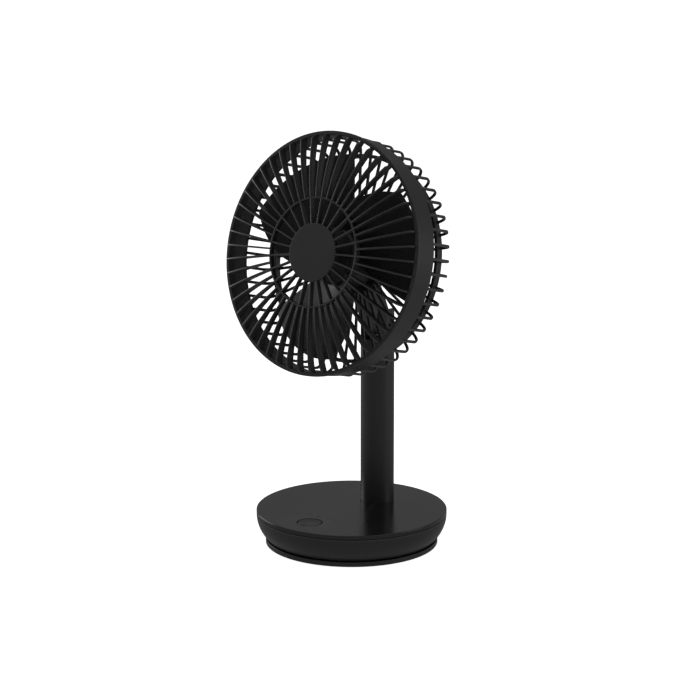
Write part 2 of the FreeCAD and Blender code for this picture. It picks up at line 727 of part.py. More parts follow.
def base_bowl():
    """Bowl with its hub on the post, bosses for screws and the charging slot at the back."""
    body = new_body("base_bowl")
    sketch = new_sketch(body)
    drop = S.seam_height - S.bowl_bottom
    bottom_edge = ARC_CENTRE + root(S.side_radius * S.side_radius - drop * drop)
    outline(sketch, [
        (HUB_BORE, S.bowl_bottom), (bottom_edge, S.bowl_bottom), (S.base_radius, S.seam_height),
        (S.base_radius - S.bowl_wall, S.seam_height), (FLOOR_EDGE, BOWL_FLOOR), (HUB_OUTER, BOWL_FLOOR),
        (HUB_OUTER, HUB_TOP), (HUB_BORE, HUB_TOP)], {1: (S.side_radius, 1), 3: (INNER_ARC, -1)})
    revolve(body, sketch)
    within = BOWL_FLOOR - S.overlap
    thread = BOWL_FLOOR + S.sink_depth
    spots = four_spots(BOSS_REACH)
    shelf = S.socket_centre - S.socket_height / 2 - S.charge_thickness
    rest_y = FLOOR_EDGE - S.charge_pillar_y
    rests = [(S.charge_pillar_x, rest_y), (-S.charge_pillar_x, rest_y)]
    bosses(body, within, BOSS_TOP - within, S.boss_radius, spots)
    bosses(body, within, MOTOR_TOP - S.ear_thickness - within, S.pillar_radius, EAR_SPOTS)
    bosses(body, within, S.board_height - within, S.pillar_radius, BOARD_SPOTS)
    bosses(body, within, shelf - within, S.charge_pillar, rests)
    holes(body, S.bowl_bottom, BOSS_TOP - S.bowl_bottom, HOLE, spots)
    holes(body, S.bowl_bottom, COUNTERBORE, S.screw_head_radius + S.head_gap, spots)
    holes(body, thread, MOTOR_TOP, PILOT, EAR_SPOTS)
    holes(body, thread, S.board_height, PILOT, BOARD_SPOTS)
    slot = new_sketch(body, "XZ_Plane", -S.base_radius)
    socket_outline(slot, S.socket_gap)
    pocket(body, slot, S.bowl_wall * 3)


def socket_outline(sketch, grow):
    """Draw the charging socket's rounded outline, larger all round by a clearance."""
    half = S.socket_width / 2 - S.socket_height / 2
    low = S.socket_centre - S.socket_height / 2 - grow
    high = S.socket_centre + S.socket_height / 2 + grow
    radius = S.socket_height / 2 + grow
    round_end = (radius, 1)
    outline(sketch, [(-half, low), (half, low), (half + radius, S.socket_centre), (half, high), (-half, high),
                     (-half - radius, S.socket_centre)],
            {1: round_end, 2: round_end, 4: round_end, 5: round_end})


def top_cover():
    """Top plate with the holes for the column, the button and the lamps."""
    body = new_body("top_cover")
    sketch = new_sketch(body)
    lip_outer = S.base_radius - S.bowl_wall - S.lip_gap
    lip_inner = lip_outer - S.lip_width
    lip_low = S.seam_height - S.lip_height
    shoulder = S.base_radius - S.seam_inset
    seam_top = S.seam_height + S.seam_gap
    outline(sketch, [
        (0, COVER_UNDER), (lip_inner, COVER_UNDER), (lip_inner, lip_low), (lip_outer, lip_low),
        (lip_outer, S.seam_height), (shoulder, S.seam_height), (shoulder, seam_top),
        (S.base_radius, seam_top), (S.base_radius, S.base_height - S.edge_round),
        (S.base_radius - S.edge_round, S.base_height), (0, S.base_height)], {8: (S.edge_round, 1)})
    revolve(body, sketch)
    reach = COVER_UNDER + S.overlap
    boss_low = BOSS_TOP + S.fit_gap
    collar_low = COVER_UNDER - S.flange_depth
    thread_top = S.base_height - S.skin
    spots = four_spots(BOSS_REACH)
    clamp_spots = [(x, y + S.column_offset) for x, y in four_spots(S.flange_circle)]
    button_spot = [(0, -S.button_offset)]
    column_spot = [(0, S.column_offset)]
    bosses(body, boss_low, reach - boss_low, S.boss_radius, spots)
    bosses(body, PAD_HEIGHT, reach - PAD_HEIGHT, S.flange_radius, column_spot)
    bosses(body, collar_low, reach - collar_low, BUTTON_FLANGE + S.button_collar, button_spot)
    holes(body, BOSS_TOP, thread_top - BOSS_TOP, PILOT, spots)
    holes(body, PAD_HEIGHT, thread_top - PAD_HEIGHT, PILOT, clamp_spots)
    holes(body, PAD_HEIGHT, S.base_height, S.column_radius + S.fit_gap, column_spot)
    holes(body, collar_low, S.base_height, S.button_radius + S.button_gap, button_spot)
    holes(body, collar_low, S.flange_depth, BUTTON_FLANGE + S.fit_gap, button_spot)
    holes(body, collar_low, S.base_height, S.lamp_radius + S.running_gap, lamp_spots())


def lamp_spots():
    """Return the centres of the lamps."""
    count = int(number(S.lamp_count))
    middle = (count - 1) / 2
    return [(S.lamp_pitch * (index - middle), -S.lamp_offset) for index in range(count)]


def cover_screws():
    """Screws from under the bowl into the top plate."""
    seat = S.bowl_bottom + COUNTERBORE
    length = S.base_height - S.cover_thickness + S.fit_gap - seat
    screw_set("cover_screws", at_origin, BOSS_REACH, 4, seat, length, first=EIGHTH_TURN)


# ---------------------------------------------------------------- inside the base

def lamp_pipes():
    """Light pipes that show as the row of lamps."""
    body = new_body("lamp_pipes")
    low = BOARD_TOP + S.pipe_gap
    bosses(body, low, S.base_height - low - S.running_gap, S.lamp_radius, lamp_spots())


def lamp_chips():
    """Lamps on the board, one under each pipe."""
    body = new_body("lamp_chips")
    sketch = new_sketch(body, "XY_Plane", BOARD_TOP)
    along = S.chip_length / 2
    across = S.chip_width / 2
    for x, y in lamp_spots():
        oblong(sketch, (x - along, y - across), (x + along, y + across))
    pad(body, sketch, S.chip_height)


def main_board():
    """Circuit board under the button and the lamps."""
    back = S.board_back - S.lamp_offset
    half = S.board_width / 2
    body = box_body("main_board", (-half, back - S.board_length, S.board_height), (half, back, BOARD_TOP))
    holes(body, S.board_height, S.board_thickness, HOLE, BOARD_SPOTS)


def board_screws():
    """Two screws that hold the main board."""

    def over_board(piece):
        """Stand the pair half way between its two screws."""
        bind(piece, "Placement.Base.y", BOARD_SCREW_Y)

    screw_set("board_screws", over_board, BOARD_SCREW_X, 2, BOARD_TOP, S.board_screw_length, up=False)


def switch_body():
    """Push switch on the board under the button."""
    side = S.switch_half
    low = (-side, -(S.button_offset + side), BOARD_TOP)
    body = box_body("switch_body", low, (side, side - S.button_offset, SWITCH_TOP))
    bore = S.plunger_radius + S.running_gap
    holes(body, SWITCH_TOP - S.plunger_bore, S.plunger_bore, bore, [(0, -S.button_offset)])


def at_button(piece):
    """Stand a piece on the button's axis."""
    bind(piece, "Placement.Base.y", -S.button_offset)


def power_button():
    """Flush round button with a dished top, a flange that keeps it in and a stem."""
    body = new_body("power_button", at_button)
    sketch = new_sketch(body)
    flange_top = COVER_UNDER - S.running_gap
    flange_low = flange_top - S.button_travel - S.running_gap
    edge = S.edge_round / 2
    low_top = S.base_height - edge
    outline(sketch, [
        (0, PLUNGER_TOP), (S.stem_radius, PLUNGER_TOP), (S.stem_radius, flange_low), (BUTTON_FLANGE, flange_low),
        (BUTTON_FLANGE, flange_top), (S.button_radius, flange_top), (S.button_radius, low_top),
        (S.button_radius - edge, S.base_height), (0, low_top)], {7: (S.button_dish, -1)})
    revolve(body, sketch)


def switch_plunger():
    """Plunger of the push switch, which moves with the button."""
    body = new_body("switch_plunger", at_button)
    sketch = new_sketch(body)
    low = SWITCH_TOP - S.plunger_bore + S.button_travel + S.fit_gap
    oblong(sketch, (0, low), (S.plunger_radius, PLUNGER_TOP))
    revolve(body, sketch)


def battery():
    """Foam pad and flat battery pack beside the hub."""
    half = S.battery_length / 2
    wall = FLOOR_EDGE - S.inner_clearance
    near = HUB_OUTER + S.inner_clearance
    far = root(wall * wall - half * half)
    top = BOWL_FLOOR + S.foam_thickness
    inset = S.foam_inset
    box_body("battery_foam", (near + inset, inset - half, BOWL_FLOOR), (far - inset, half - inset, top))
    body = box_body("battery_pack", (near, -half, top), (far, half, top + S.battery_thickness))
    DOC.recompute()
    block = body.Tip
    corners = body.newObject("PartDesign::Fillet", "battery_corners")
    upright = [f"Edge{index}" for index, edge in enumerate(body.Shape.Edges, start=1)
               if abs(edge.tangentAt(edge.FirstParameter).z) > number(S.drive_share)]
    corners.Base = (block, upright)
    corners.Radius = number(S.battery_corner)
    bind(corners, "Radius", S.battery_corner)


def charge_parts():
    """Small board at the back and the charging socket on it."""
    top = S.socket_centre - S.socket_height / 2
    front = FLOOR_EDGE - S.charge_margin
    half = S.charge_half
    box_body("charge_board", (-half, front - S.charge_length, top - S.charge_thickness), (half, front, top))
    body = new_body("charge_socket")
    mouth = S.base_radius - S.bowl_wall * S.socket_recess
    tip = mouth - S.tongue_inset
    back_wall = S.tongue_inset
    shell = new_sketch(body, "XZ_Plane", -mouth)
    socket_outline(shell, 0)
    pad(body, shell, S.socket_depth)
    hollow = new_sketch(body, "XZ_Plane", -mouth)
    socket_outline(hollow, -S.socket_wall)
    pocket(body, hollow, S.socket_depth - back_wall)
    tongue = new_sketch(body, "XZ_Plane", -tip)
    across = S.tongue_width / 2
    thick = S.tongue_height / 2
    oblong(tongue, (-across, S.socket_centre - thick), (across, S.socket_centre + thick))
    pad(body, tongue, S.socket_depth - S.tongue_inset - back_wall / 2)


def swivel_motor():
    """Slim geared motor beside the hub, with two screw ears."""
    body = new_body("swivel_motor")
    low = MOTOR_TOP - S.ear_thickness
    bosses(body, BOWL_FLOOR, MOTOR_TOP - BOWL_FLOOR, S.motor_radius, [(MOTOR_X, 0)])
    ears = new_sketch(body, "XY_Plane", low)
    left = MOTOR_X - S.ear_radius
    right = MOTOR_X + S.ear_radius
    reach = S.ear_reach
    tip = reach + S.ear_radius
    round_end = (S.ear_radius, 1)
    outline(ears, [(left, -reach), (MOTOR_X, -tip), (right, -reach), (right, reach), (MOTOR_X, tip),
                   (left, reach)],
            {0: round_end, 1: round_end, 3: round_end, 4: round_end})
    pad(body, ears, S.ear_thickness)
    holes(body, low, S.ear_thickness, HOLE, EAR_SPOTS)
    bore = S.motor_shaft_radius + S.running_gap
    holes(body, MOTOR_TOP - S.motor_shaft_depth - S.overlap, MOTOR_TOP, bore, [(PINION_X, 0)])


def swivel_motor_screws():
    """Two screws through the motor's ears."""

    def over_motor(piece):
        """Stand the pair on the motor's centre, one screw to each side."""
        piece.Placement = FreeCAD.Placement(V(0, 0, 0), FreeCAD.Rotation(V(0, 0, 1), QUARTER_TURN))
        bind(piece, "Placement.Base.x", MOTOR_X)

    screw_set("swivel_motor_screws", over_motor, S.ear_reach, 2, MOTOR_TOP, S.ear_screw_length, up=False)


def pinion():
    """Motor pinion in mesh with the fixed gear, and its shaft."""
    teeth = int(number(S.pinion_teeth))
    shape = gear_shape(teeth, S.motor_shaft_radius, HALF_TURN / teeth, PINION_X)
    add_solid("pinion_gear", shape, at_origin)
    body = new_body("pinion_shaft")
    low = MOTOR_TOP - S.motor_shaft_depth
    bosses(body, low, S.post_height + S.gear_width - low, S.motor_shaft_radius, [(PINION_X, 0)])


# ---------------------------------------------------------------- column

def column_tube():
    """Round tube from the clamp flange up to the fork."""
    outer = S.column_radius
    ring_body("column_tube", outer - S.column_wall, outer, S.column_foot, S.tube_top, at_column)


def column_flange():
    """Flange with a socket that holds the column under the top plate."""
    body = new_body("column_flange", at_column)
    sketch = new_sketch(body)
    bore = S.column_radius + S.fit_gap
    outer = bore + S.flange_socket
    inner = S.flange_bore
    plate_low = PAD_HEIGHT - S.flange_thickness
    floor = S.column_foot - S.flange_floor
    outline(sketch, [(inner, floor), (outer, floor), (outer, plate_low), (S.flange_radius, plate_low),
                     (S.flange_radius, PAD_HEIGHT), (bore, PAD_HEIGHT), (bore, S.column_foot),
                     (inner, S.column_foot)])
    revolve(body, sketch)
    holes(body, plate_low, S.flange_thickness, HOLE, four_spots(S.flange_circle))


def column_screws():
    """Screws that hold the flange under the top plate."""
    seat = PAD_HEIGHT - S.flange_thickness
    length = S.base_height - S.skin - S.head_gap - seat
    screw_set("column_screws", at_column, S.flange_circle, 4, seat, length, first=EIGHTH_TURN)


def tilt_fork():
    """Top of the column: a plug in the tube and two ears with the slot for the arm."""
    body = new_body("tilt_fork", at_column)
    sketch = new_sketch(body)
    plug = S.column_radius - S.column_wall - S.fit_gap
    bore = S.fork_bore
    low = S.tube_top - S.plug_depth
    cap = S.fork_round
    outline(sketch, [(bore, low), (plug, low), (plug, S.tube_top), (S.column_radius, S.tube_top),
                     (S.column_radius, S.fork_top - cap), (S.column_radius - cap, S.fork_top), (bore, S.fork_top)],
            {4: (cap, 1)})
    revolve(body, sketch)
    slot = new_sketch(body, "XY_Plane", S.slot_bottom)
    oblong(slot, (-SLOT_HALF, -S.column_radius), (SLOT_HALF, S.column_radius))
    pocket(body, slot, S.fork_top)
    through = new_sketch(body, "YZ_Plane")
    circle(through, S.hinge_radius + S.running_gap, 0, S.hinge_height)
    pocket(body, through, S.column_radius * 2, middle=True)
    for side in (1, -1):
        recess = new_sketch(body, "YZ_Plane", (S.column_radius - S.hinge_sink) * side)
        circle(recess, S.hinge_head_radius + S.fit_gap, 0, S.hinge_height)
        pocket(body, recess, S.hinge_sink, up=side > 0)


def hinge_bolt():
    """Bolt across the fork that the arm tilts on."""
    body = new_body("hinge_bolt", at_hinge)
    sketch = new_sketch(body)
    seat = S.column_radius - S.hinge_sink
    tail = -(seat + S.hinge_tail)
    top = seat + S.hinge_head_height
    head = S.hinge_head_radius
    edge = S.hinge_head_height / 3
    socket = S.hinge_socket
    outline(sketch, [(0, tail), (S.hinge_radius, tail), (S.hinge_radius, seat), (head, seat), (head, top - edge),
                     (head - edge, top), (socket, top), (socket, seat), (0, seat)])
    revolve(body, sketch)


def hinge_nut():
    """Hexagon nut on the bolt's other end."""
    hexagon = DOC.addObject("Part::Prism", "nut_hexagon")
    hexagon.Polygon = 6
    bind(hexagon, "Circumradius", S.hinge_head_radius)
    bore = DOC.addObject("Part::Cylinder", "nut_bore")
    bind(bore, "Radius", S.hinge_radius)
    for blank in (hexagon, bore):
        bind(blank, "Height", S.hinge_nut_height)
    nut = DOC.addObject("Part::Cut", "hinge_nut")
    nut.Label = "hinge_nut"
    nut.Base = hexagon
    nut.Tool = bore
    nut.Placement = FreeCAD.Placement(V(0, 0, 0), FreeCAD.Rotation(V(0, 1, 0), -QUARTER_TURN))
    bind(nut, "Placement.Base.x", S.hinge_sink - S.column_radius)
    bind(nut, "Placement.Base.y", S.column_offset)
    bind(nut, "Placement.Base.z", S.hinge_height)


def friction_washers():
    """Two washers that hold the arm where it is set."""
    body = new_body("friction_washers", at_hinge)
    sketch = new_sketch(body)
    near = S.arm_width / 2
    inner = S.hinge_radius + S.fit_gap
    for side in (1, -1):
        low = (near + S.running_gap) * side
        high = (near + S.friction_thickness) * side
        oblong(sketch, (inner, low), (S.friction_radius, high))
    revolve(body, sketch)


# ---------------------------------------------------------------- head

def tilt_arm():
    """Motor cup behind the cage with the arm down to the tilt axis."""
    body = new_body("tilt_arm", in_head)
    edge = S.cup_round
    sketch = new_sketch(body)
    inner = S.cup_radius - S.cup_wall
    cup_inside = CUP_FLOOR + S.cup_wall
    outline(sketch, [(0, CUP_FLOOR), (S.cup_radius - edge, CUP_FLOOR), (S.cup_radius, CUP_FLOOR + edge),
                     (S.cup_radius, CAGE_BACK), (inner, CAGE_BACK), (inner, cup_inside), (0, cup_inside)],
            {1: (edge, 1)})
    revolve(body, sketch)
    arm_outline(new_sketch(body, "YZ_Plane"), body)
    spots = four_spots(S.cup_circle)
    low = CUP_FLOOR + S.overlap
    bosses(body, low, CAGE_BACK - low, S.boss_radius, spots)
    holes(body, CUP_FLOOR, S.cup_depth, HOLE, spots)
    holes(body, CUP_FLOOR, S.screw_head_height + S.head_gap, S.screw_head_radius + S.head_gap, spots)
    bore = new_sketch(body, "YZ_Plane")
    circle(bore, S.hinge_radius + S.running_gap, -S.arm_drop, -S.arm_back)
    pocket(body, bore, S.arm_width, middle=True)


def arm_outline(sketch, body):
    """Draw and thicken the arm between the cup and the knuckle."""
    top = (-S.cup_wall, CUP_FLOOR + S.overlap)
    bottom = (S.overlap - S.cup_radius, CAGE_BACK - S.cup_depth / 2)
    run = number(S.arm_back) + number(CUP_FLOOR)
    fall = number(S.arm_drop) - number(S.cup_radius) / 2
    slant = math.hypot(run, fall)
    along = S.knuckle_radius * (run / slant)
    across = S.knuckle_radius * (fall / slant)
    back = (along - S.arm_drop, -S.arm_back - across)
    front = (-S.arm_drop - along, across - S.arm_back)
    far = (-S.arm_drop - across, -S.arm_back - along)
    knuckle = (S.knuckle_radius, -1)
    outline(sketch, [bottom, top, back, far, front], {2: knuckle, 3: knuckle})
    pad(body, sketch, S.arm_width, middle=True)


def arm_screws():
    """Screws from behind through the cup into the motor plate."""
    seat = CUP_FLOOR + S.screw_head_height + S.head_gap
    length = PLATE_FRONT - S.overlap - seat
    screw_set("arm_screws", in_head, S.cup_circle, 4, seat, length, first=EIGHTH_TURN)


def rear_grille():
    """Rear cage: motor plate, ring, a rim that laps inside the shroud, and fifty bent ribs."""
    body = new_body("rear_grille", in_head)
    rings = new_sketch(body)
    ring_outer = S.ring_radius - S.cage_ring_inset + S.cage_ring_width / 2
    lap_front = SHROUD_BACK + S.lap_depth
    oblong(rings, (TUBE_OUTER + S.running_gap, CAGE_BACK), (S.plate_radius, PLATE_FRONT))
    oblong(rings, (ring_outer - S.cage_ring_width, CAGE_BACK), (ring_outer, CAGE_BACK + S.cage_ring_depth))
    oblong(rings, (SHROUD_INNER, SHROUD_BACK), (LAP_OUTER, lap_front))
    revolve(body, rings)
    rib = new_sketch(body, turn=S.rear_rib_turn)
    depth = S.cage_rib_depth
    bend = S.cage_corner
    inner_bend = bend - depth
    inside = CAGE_OUTER - depth
    start = S.plate_radius - S.rib_root
    bend_z = CAGE_BACK + bend
    outline(rib, [
        (start, CAGE_BACK), (CAGE_OUTER - bend, CAGE_BACK), (CAGE_OUTER, bend_z), (CAGE_OUTER, SHROUD_BACK),
        (LAP_OUTER, SHROUD_BACK), (LAP_OUTER, lap_front), (SHROUD_INNER, lap_front), (inside, SHROUD_BACK),
        (inside, bend_z), (inside - inner_bend, CAGE_BACK + depth), (start, CAGE_BACK + depth)],
        {1: (bend, 1), 8: (inner_bend, -1)})
    around(body, pad(body, rib, S.cage_rib_width, middle=True), S.outer_rib_count)
    holes(body, CAGE_BACK, S.plate_thickness - S.fit_gap, PILOT, four_spots(S.cup_circle))


def shroud_ring():
    """Short wide ring round the impeller, rebated at both ends for the bezel and the cage."""
    body = new_body("shroud_ring", in_head)
    sketch = new_sketch(body)
    front = -(S.bezel_depth + S.running_gap)
    front_seat = -(S.bezel_depth + S.lap_depth + S.fit_gap)
    rear_seat = SHROUD_BACK + S.lap_depth + S.fit_gap
    outline(sketch, [
        (LAP_SEAT, front), (LAP_SEAT, front_seat), (SHROUD_INNER, front_seat), (SHROUD_INNER, rear_seat),
        (LAP_SEAT, rear_seat), (LAP_SEAT, SHROUD_BACK), (SHROUD_REAR, SHROUD_BACK), (SHROUD_OUTER, front)])
    revolve(body, sketch)


def front_grille():
    """Domed front grille: bezel, middle ring, centre plate and two rows of ribs."""
    body = new_body("front_grille", in_head)
    rings = new_sketch(body)
    ring = S.mid_ring_radius
    half = S.mid_ring_width / 2
    edge = S.bezel_round
    bezel_inner = S.ring_radius - S.bezel_width
    bezel_low = -S.bezel_depth
    lap_low = bezel_low - S.lap_depth
    outline(rings, [(bezel_inner, lap_low), (LAP_OUTER, lap_low), (LAP_OUTER, bezel_low),
                    (S.ring_radius, bezel_low), (S.ring_radius, -edge), (S.ring_radius - edge, 0),
                    (bezel_inner, 0)], {4: (edge, 1)})
    oblong(rings, (ring - half, RING_TOP - S.rib_depth), (ring + half, RING_TOP))
    badge_low = S.dome_height - S.badge_thickness
    bevel = S.badge_bevel
    outline(rings, [(0, badge_low), (S.badge_radius, badge_low), (S.badge_radius, S.dome_height - bevel),
                    (S.badge_radius - bevel, S.dome_height), (0, S.dome_height)])
    revolve(body, rings)
    dome = dome_radius()
    curve_end = SHROUD_INNER - S.dome_inset
    foot = bezel_inner + S.lap_width / 2
    outer = new_sketch(body, turn=S.front_rib_turn)
    outline(outer, [(ring, RING_TOP), (ring, RING_TOP - S.rib_depth + S.running_gap), (foot, -S.rib_foot),
                    (foot, -S.overlap), (curve_end, S.dome_edge)],
            {1: (dome, -1), 3: (S.rib_shoulder, 1), 4: (dome, 1)})
    around(body, pad(body, outer, S.rib_width, middle=True), S.outer_rib_count)
    inner = new_sketch(body, turn=S.front_rib_turn)
    start = S.badge_radius - S.rib_root
    skim = S.running_gap * 2
    outline(inner, [(start, S.dome_height - skim - S.rib_depth), (ring, RING_TOP - skim - S.rib_depth),
                    (ring, RING_TOP - skim), (start, S.dome_height - skim)])
    around(body, pad(body, inner, S.rib_width, middle=True), S.inner_rib_count)


def dome_radius():
    """Return the radius of the ribs' curve from the middle ring outwards."""
    run = SHROUD_INNER - S.dome_inset - S.mid_ring_radius
    fall = RING_TOP - S.dome_edge
    chord = root(run * run + fall * fall)
    bulge = fall / 2 - S.dome_mid_drop + S.ring_drop
    return chord * chord / (bulge * 8) + bulge / 2


# ---------------------------------------------------------------- motor

def bearing_parts():
    """Tube in the motor plate and its two bearings."""
    low = CAGE_BACK
    high = low + S.tube_length
    ring_body("bearing_tube", S.bearing_radius, TUBE_OUTER, low, high, in_head)
    body = new_body("motor_bearings", in_head)
    sketch = new_sketch(body)
    inner = S.shaft_radius + S.bearing_gap
    outer = S.bearing_radius - S.bearing_gap
    for near in (low + S.bearing_inset, high - S.bearing_inset - S.bearing_width):
        oblong(sketch, (inner, near), (outer, near + S.bearing_width))
    revolve(body, sketch)


def stator_core():
    """Laminated core: a ring with T-shaped poles."""
    ring = TUBE_OUTER + S.stator_ring
    body = ring_body("stator_core", TUBE_OUTER + S.running_gap, ring, STATOR_LOW, STATOR_HIGH, in_head)
    sketch = new_sketch(body, "XY_Plane", STATOR_LOW)
    root_x = ring - S.pole_half
    neck = S.pole_half
    half = STATOR_OUTER * math.sin(math.pi / number(S.pole_count) * number(S.shoe_share))
    tip = root(STATOR_OUTER * STATOR_OUTER - half * half)
    shoe = tip - S.shoe_depth
    bend = shoe - S.shoe_slope / 2
    outline(sketch, [(root_x, -neck), (bend, -neck), (shoe, -half), (tip, -half), (tip, half), (shoe, half),
                     (bend, neck), (root_x, neck)], {3: (STATOR_OUTER, 1)})
    around(body, pad(body, sketch, STATOR_HIGH - STATOR_LOW), S.pole_count)


def stator_coils():
    """One winding round each pole."""
    body = new_body("stator_coils", in_head)
    near = TUBE_OUTER + S.stator_ring + S.coil_margin
    far = STATOR_OUTER - S.shoe_depth * 2 - S.shoe_slope
    inside = S.pole_half + S.coil_gap
    outside = inside + S.coil_wall
    wound = new_sketch(body, "XY_Plane", STATOR_LOW - S.coil_end)
    oblong(wound, (near, -outside), (far, outside))
    around(body, pad(body, wound, S.stator_length + S.coil_end * 2), S.pole_count)
    hollow = new_sketch(body, "XY_Plane", STATOR_LOW - S.coil_gap)
    oblong(hollow, (near - S.coil_margin, -inside), (far + S.coil_margin, inside))
    around(body, pocket(body, hollow, S.stator_length + S.coil_gap * 2), S.pole_count)


def motor_board():
    """Round driver board behind the stator."""
    low = PLATE_FRONT + S.driver_gap
    inner = TUBE_OUTER + S.running_gap
    ring_body("motor_board", inner, CAN_INNER - S.driver_margin, low, low + S.driver_thickness, in_head)


def rotor_parts():
    """Shaft, steel can and magnet ring."""
    body = new_body("rotor_shaft", in_head)
    sketch = new_sketch(body)
    oblong(sketch, (0, CAGE_BACK + S.overlap), (S.shaft_radius, SHAFT_END))
    revolve(body, sketch)
    can = new_body("rotor_can", in_head)
    sketch = new_sketch(can)
    inside = CAN_FRONT - S.can_front
    low = STATOR_LOW - S.magnet_margin - S.hub_gap
    outline(sketch, [(S.shaft_radius, inside), (CAN_INNER, inside), (CAN_INNER, low), (S.can_radius, low),
                     (S.can_radius, CAN_FRONT), (S.shaft_radius, CAN_FRONT)])
    revolve(can, sketch)
    magnet_low = STATOR_LOW - S.magnet_margin
    ring_body("magnet_ring", MAGNET_INNER, CAN_INNER, magnet_low, STATOR_HIGH + S.magnet_margin, in_head)


BLADE_ROWS = 6
BLADE_STATIONS = 10


def blade_point(share, radius, lift):
    """Return a point of the first blade: share runs 0 at the rear edge to 1 at the front edge."""
    spread = (radius - number(S.blade_middle)) / number(S.blade_reach)
    wrap = math.radians(number(S.blade_wrap)) * (1 - number(S.blade_twist) * spread)
    middle = math.radians(number(S.blade_phase)) - number(S.blade_sweep) * spread
    angle = middle + wrap * (share - 0.5)
    rear = -number(S.blade_rear)
    front = -number(S.blade_front)
    return V(radius * math.cos(angle), radius * math.sin(angle), rear + (front - rear) * share + lift)


def blade_solid():
    """Return the first blade: a thin helical sheet from inside the hub to the tip circle."""
    inner = number(IMPELLER_INNER + S.overlap)
    outer = number(TIP_RADIUS)
    radii = [inner + (outer - inner) * row / BLADE_ROWS for row in range(BLADE_ROWS + 1)]
    shares = [station / BLADE_STATIONS for station in range(BLADE_STATIONS + 1)]
    half = number(S.blade_thickness) / 2
    sheets = []
    for lift in (-half, half):
        surface = Part.BSplineSurface()
        surface.interpolate([[blade_point(share, radius, lift) for share in shares] for radius in radii])
        sheets.append(surface)
    faces = [sheet.toShape() for sheet in sheets]
    for first, second in zip(edge_curves(sheets[0]), edge_curves(sheets[1])):
        faces.append(Part.makeRuledSurface(first, second))
    shell = Part.makeShell(faces)
    shell.sewShape()
    solid = Part.makeSolid(Part.Shell(shell.Faces))
    if solid.Volume < 0:
        solid.reverse()
    return solid


def edge_curves(surface):
    """Return the four boundary curves of a surface as edges."""
    low_u, high_u, low_v, high_v = surface.bounds()
    curves = [surface.uIso(low_u), surface.uIso(high_u), surface.vIso(low_v), surface.vIso(high_v)]
    return [curve.toShape() for curve in curves]


def impeller():
    """Hub cup over the rotor can and the blades."""
    radius = number(IMPELLER_RADIUS)
    inner = number(IMPELLER_INNER)
    front = number(HUB_FRONT)
    low = -number(S.hub_back)
    wall = number(S.impeller_hub_wall)
    bore = number(S.shaft_radius)
    boss = number(S.hub_boss)
    boss_low = number(CAN_FRONT + S.fit_gap)
    edge = number(S.hub_round)
    chamfer = number(S.hub_chamfer)
    inside = front - wall
    profile = [V(bore, 0, boss_low), V(boss, 0, boss_low), V(boss, 0, inside), V(inner - chamfer, 0, inside),
               V(inner, 0, inside - chamfer), V(inner, 0, low), V(radius, 0, low), V(radius, 0, front - edge)]
    lines = [Part.LineSegment(a, b).toShape() for a, b in zip(profile, profile[1:])]
    sink = edge * (1 - math.sqrt(0.5))
    middle = V(radius - sink, 0, front - sink)
    top_edge = V(radius - edge, 0, front)
    rounding = Part.Arc(profile[-1], middle, top_edge).toShape()
    closing = Part.makePolygon([top_edge, V(bore, 0, front), profile[0]])
    face = Part.Face(Part.Wire(lines + [rounding] + closing.Edges))
    hub = face.revolve(V(0, 0, 0), V(0, 0, 1), 360)
    trim = Part.makeCylinder(inner + wall / 2, front - low + radius, V(0, 0, low - wall))
    blade = blade_solid().cut(trim)
    count = int(number(S.blade_count))
    blades = []
    for index in range(count):
        copy = blade.copy()
        copy.rotate(V(0, 0, 0), V(0, 0, 1), 360 * index / count)
        blades.append(copy)
    add_solid("impeller", hub.multiFuse(blades).removeSplitter(), in_head)


def impeller_nut():
    """Domed nut that holds the impeller on the shaft."""
    body = new_body("impeller_nut", in_head)
    sketch = new_sketch(body)
    high = HUB_FRONT + S.nut_height
    edge = S.nut_round
    inside = SHAFT_END + S.nut_gap
    outline(sketch, [(S.shaft_radius, HUB_FRONT), (S.nut_radius, HUB_FRONT), (S.nut_radius, high - edge),
                     (S.nut_radius - edge, high), (0, high), (0, inside), (S.shaft_radius, inside)],
            {2: (edge, 1)})
    revolve(body, sketch)


# ---------------------------------------------------------------- build, check and write

def build():
    """Make every piece, from the floor up."""
    for maker in (foot_plate, foot_pad, thrust_washer, sun_gear, swivel_screw, base_bowl, top_cover, cover_screws,
                  lamp_pipes, lamp_chips, main_board, board_screws, switch_body, power_button, switch_plunger,
                  battery, charge_parts, swivel_motor, swivel_motor_screws, pinion, column_tube, column_flange,
                  column_screws, tilt_fork, hinge_bolt, hinge_nut, friction_washers, tilt_arm, arm_screws,
                  rear_grille, shroud_ring, front_grille, bearing_parts, stator_core, stator_coils, motor_board,
                  rotor_parts, impeller, impeller_nut):
        maker()
    DOC.recompute()


def pieces():
    """Return the objects that are pieces of the fan."""
    used = ("nut_hexagon", "nut_bore")
    kinds = ("PartDesign::Body", "Part::Feature", "Part::Cut")
    return [item for item in DOC.Objects if item.TypeId in kinds and item.Name not in used]


def check():
    """Stop if anything failed, is not a valid solid, or cut nothing."""
    for item in DOC.Objects:
        if {"Invalid", "Error"} & set(item.State):
            raise RuntimeError(f"{item.Label} failed: {item.State}")
        if item.TypeId in ("PartDesign::Pocket", "PartDesign::Groove"):
            if item.Shape.Volume > item.BaseFeature.Shape.Volume - 1e-6:
                raise RuntimeError(f"{item.Label} cuts nothing")
    for piece in pieces():
        if piece.Shape.isNull() or not piece.Shape.isValid() or not piece.Shape.Solids:
            raise RuntimeError(f"{piece.Label} is not a valid solid")


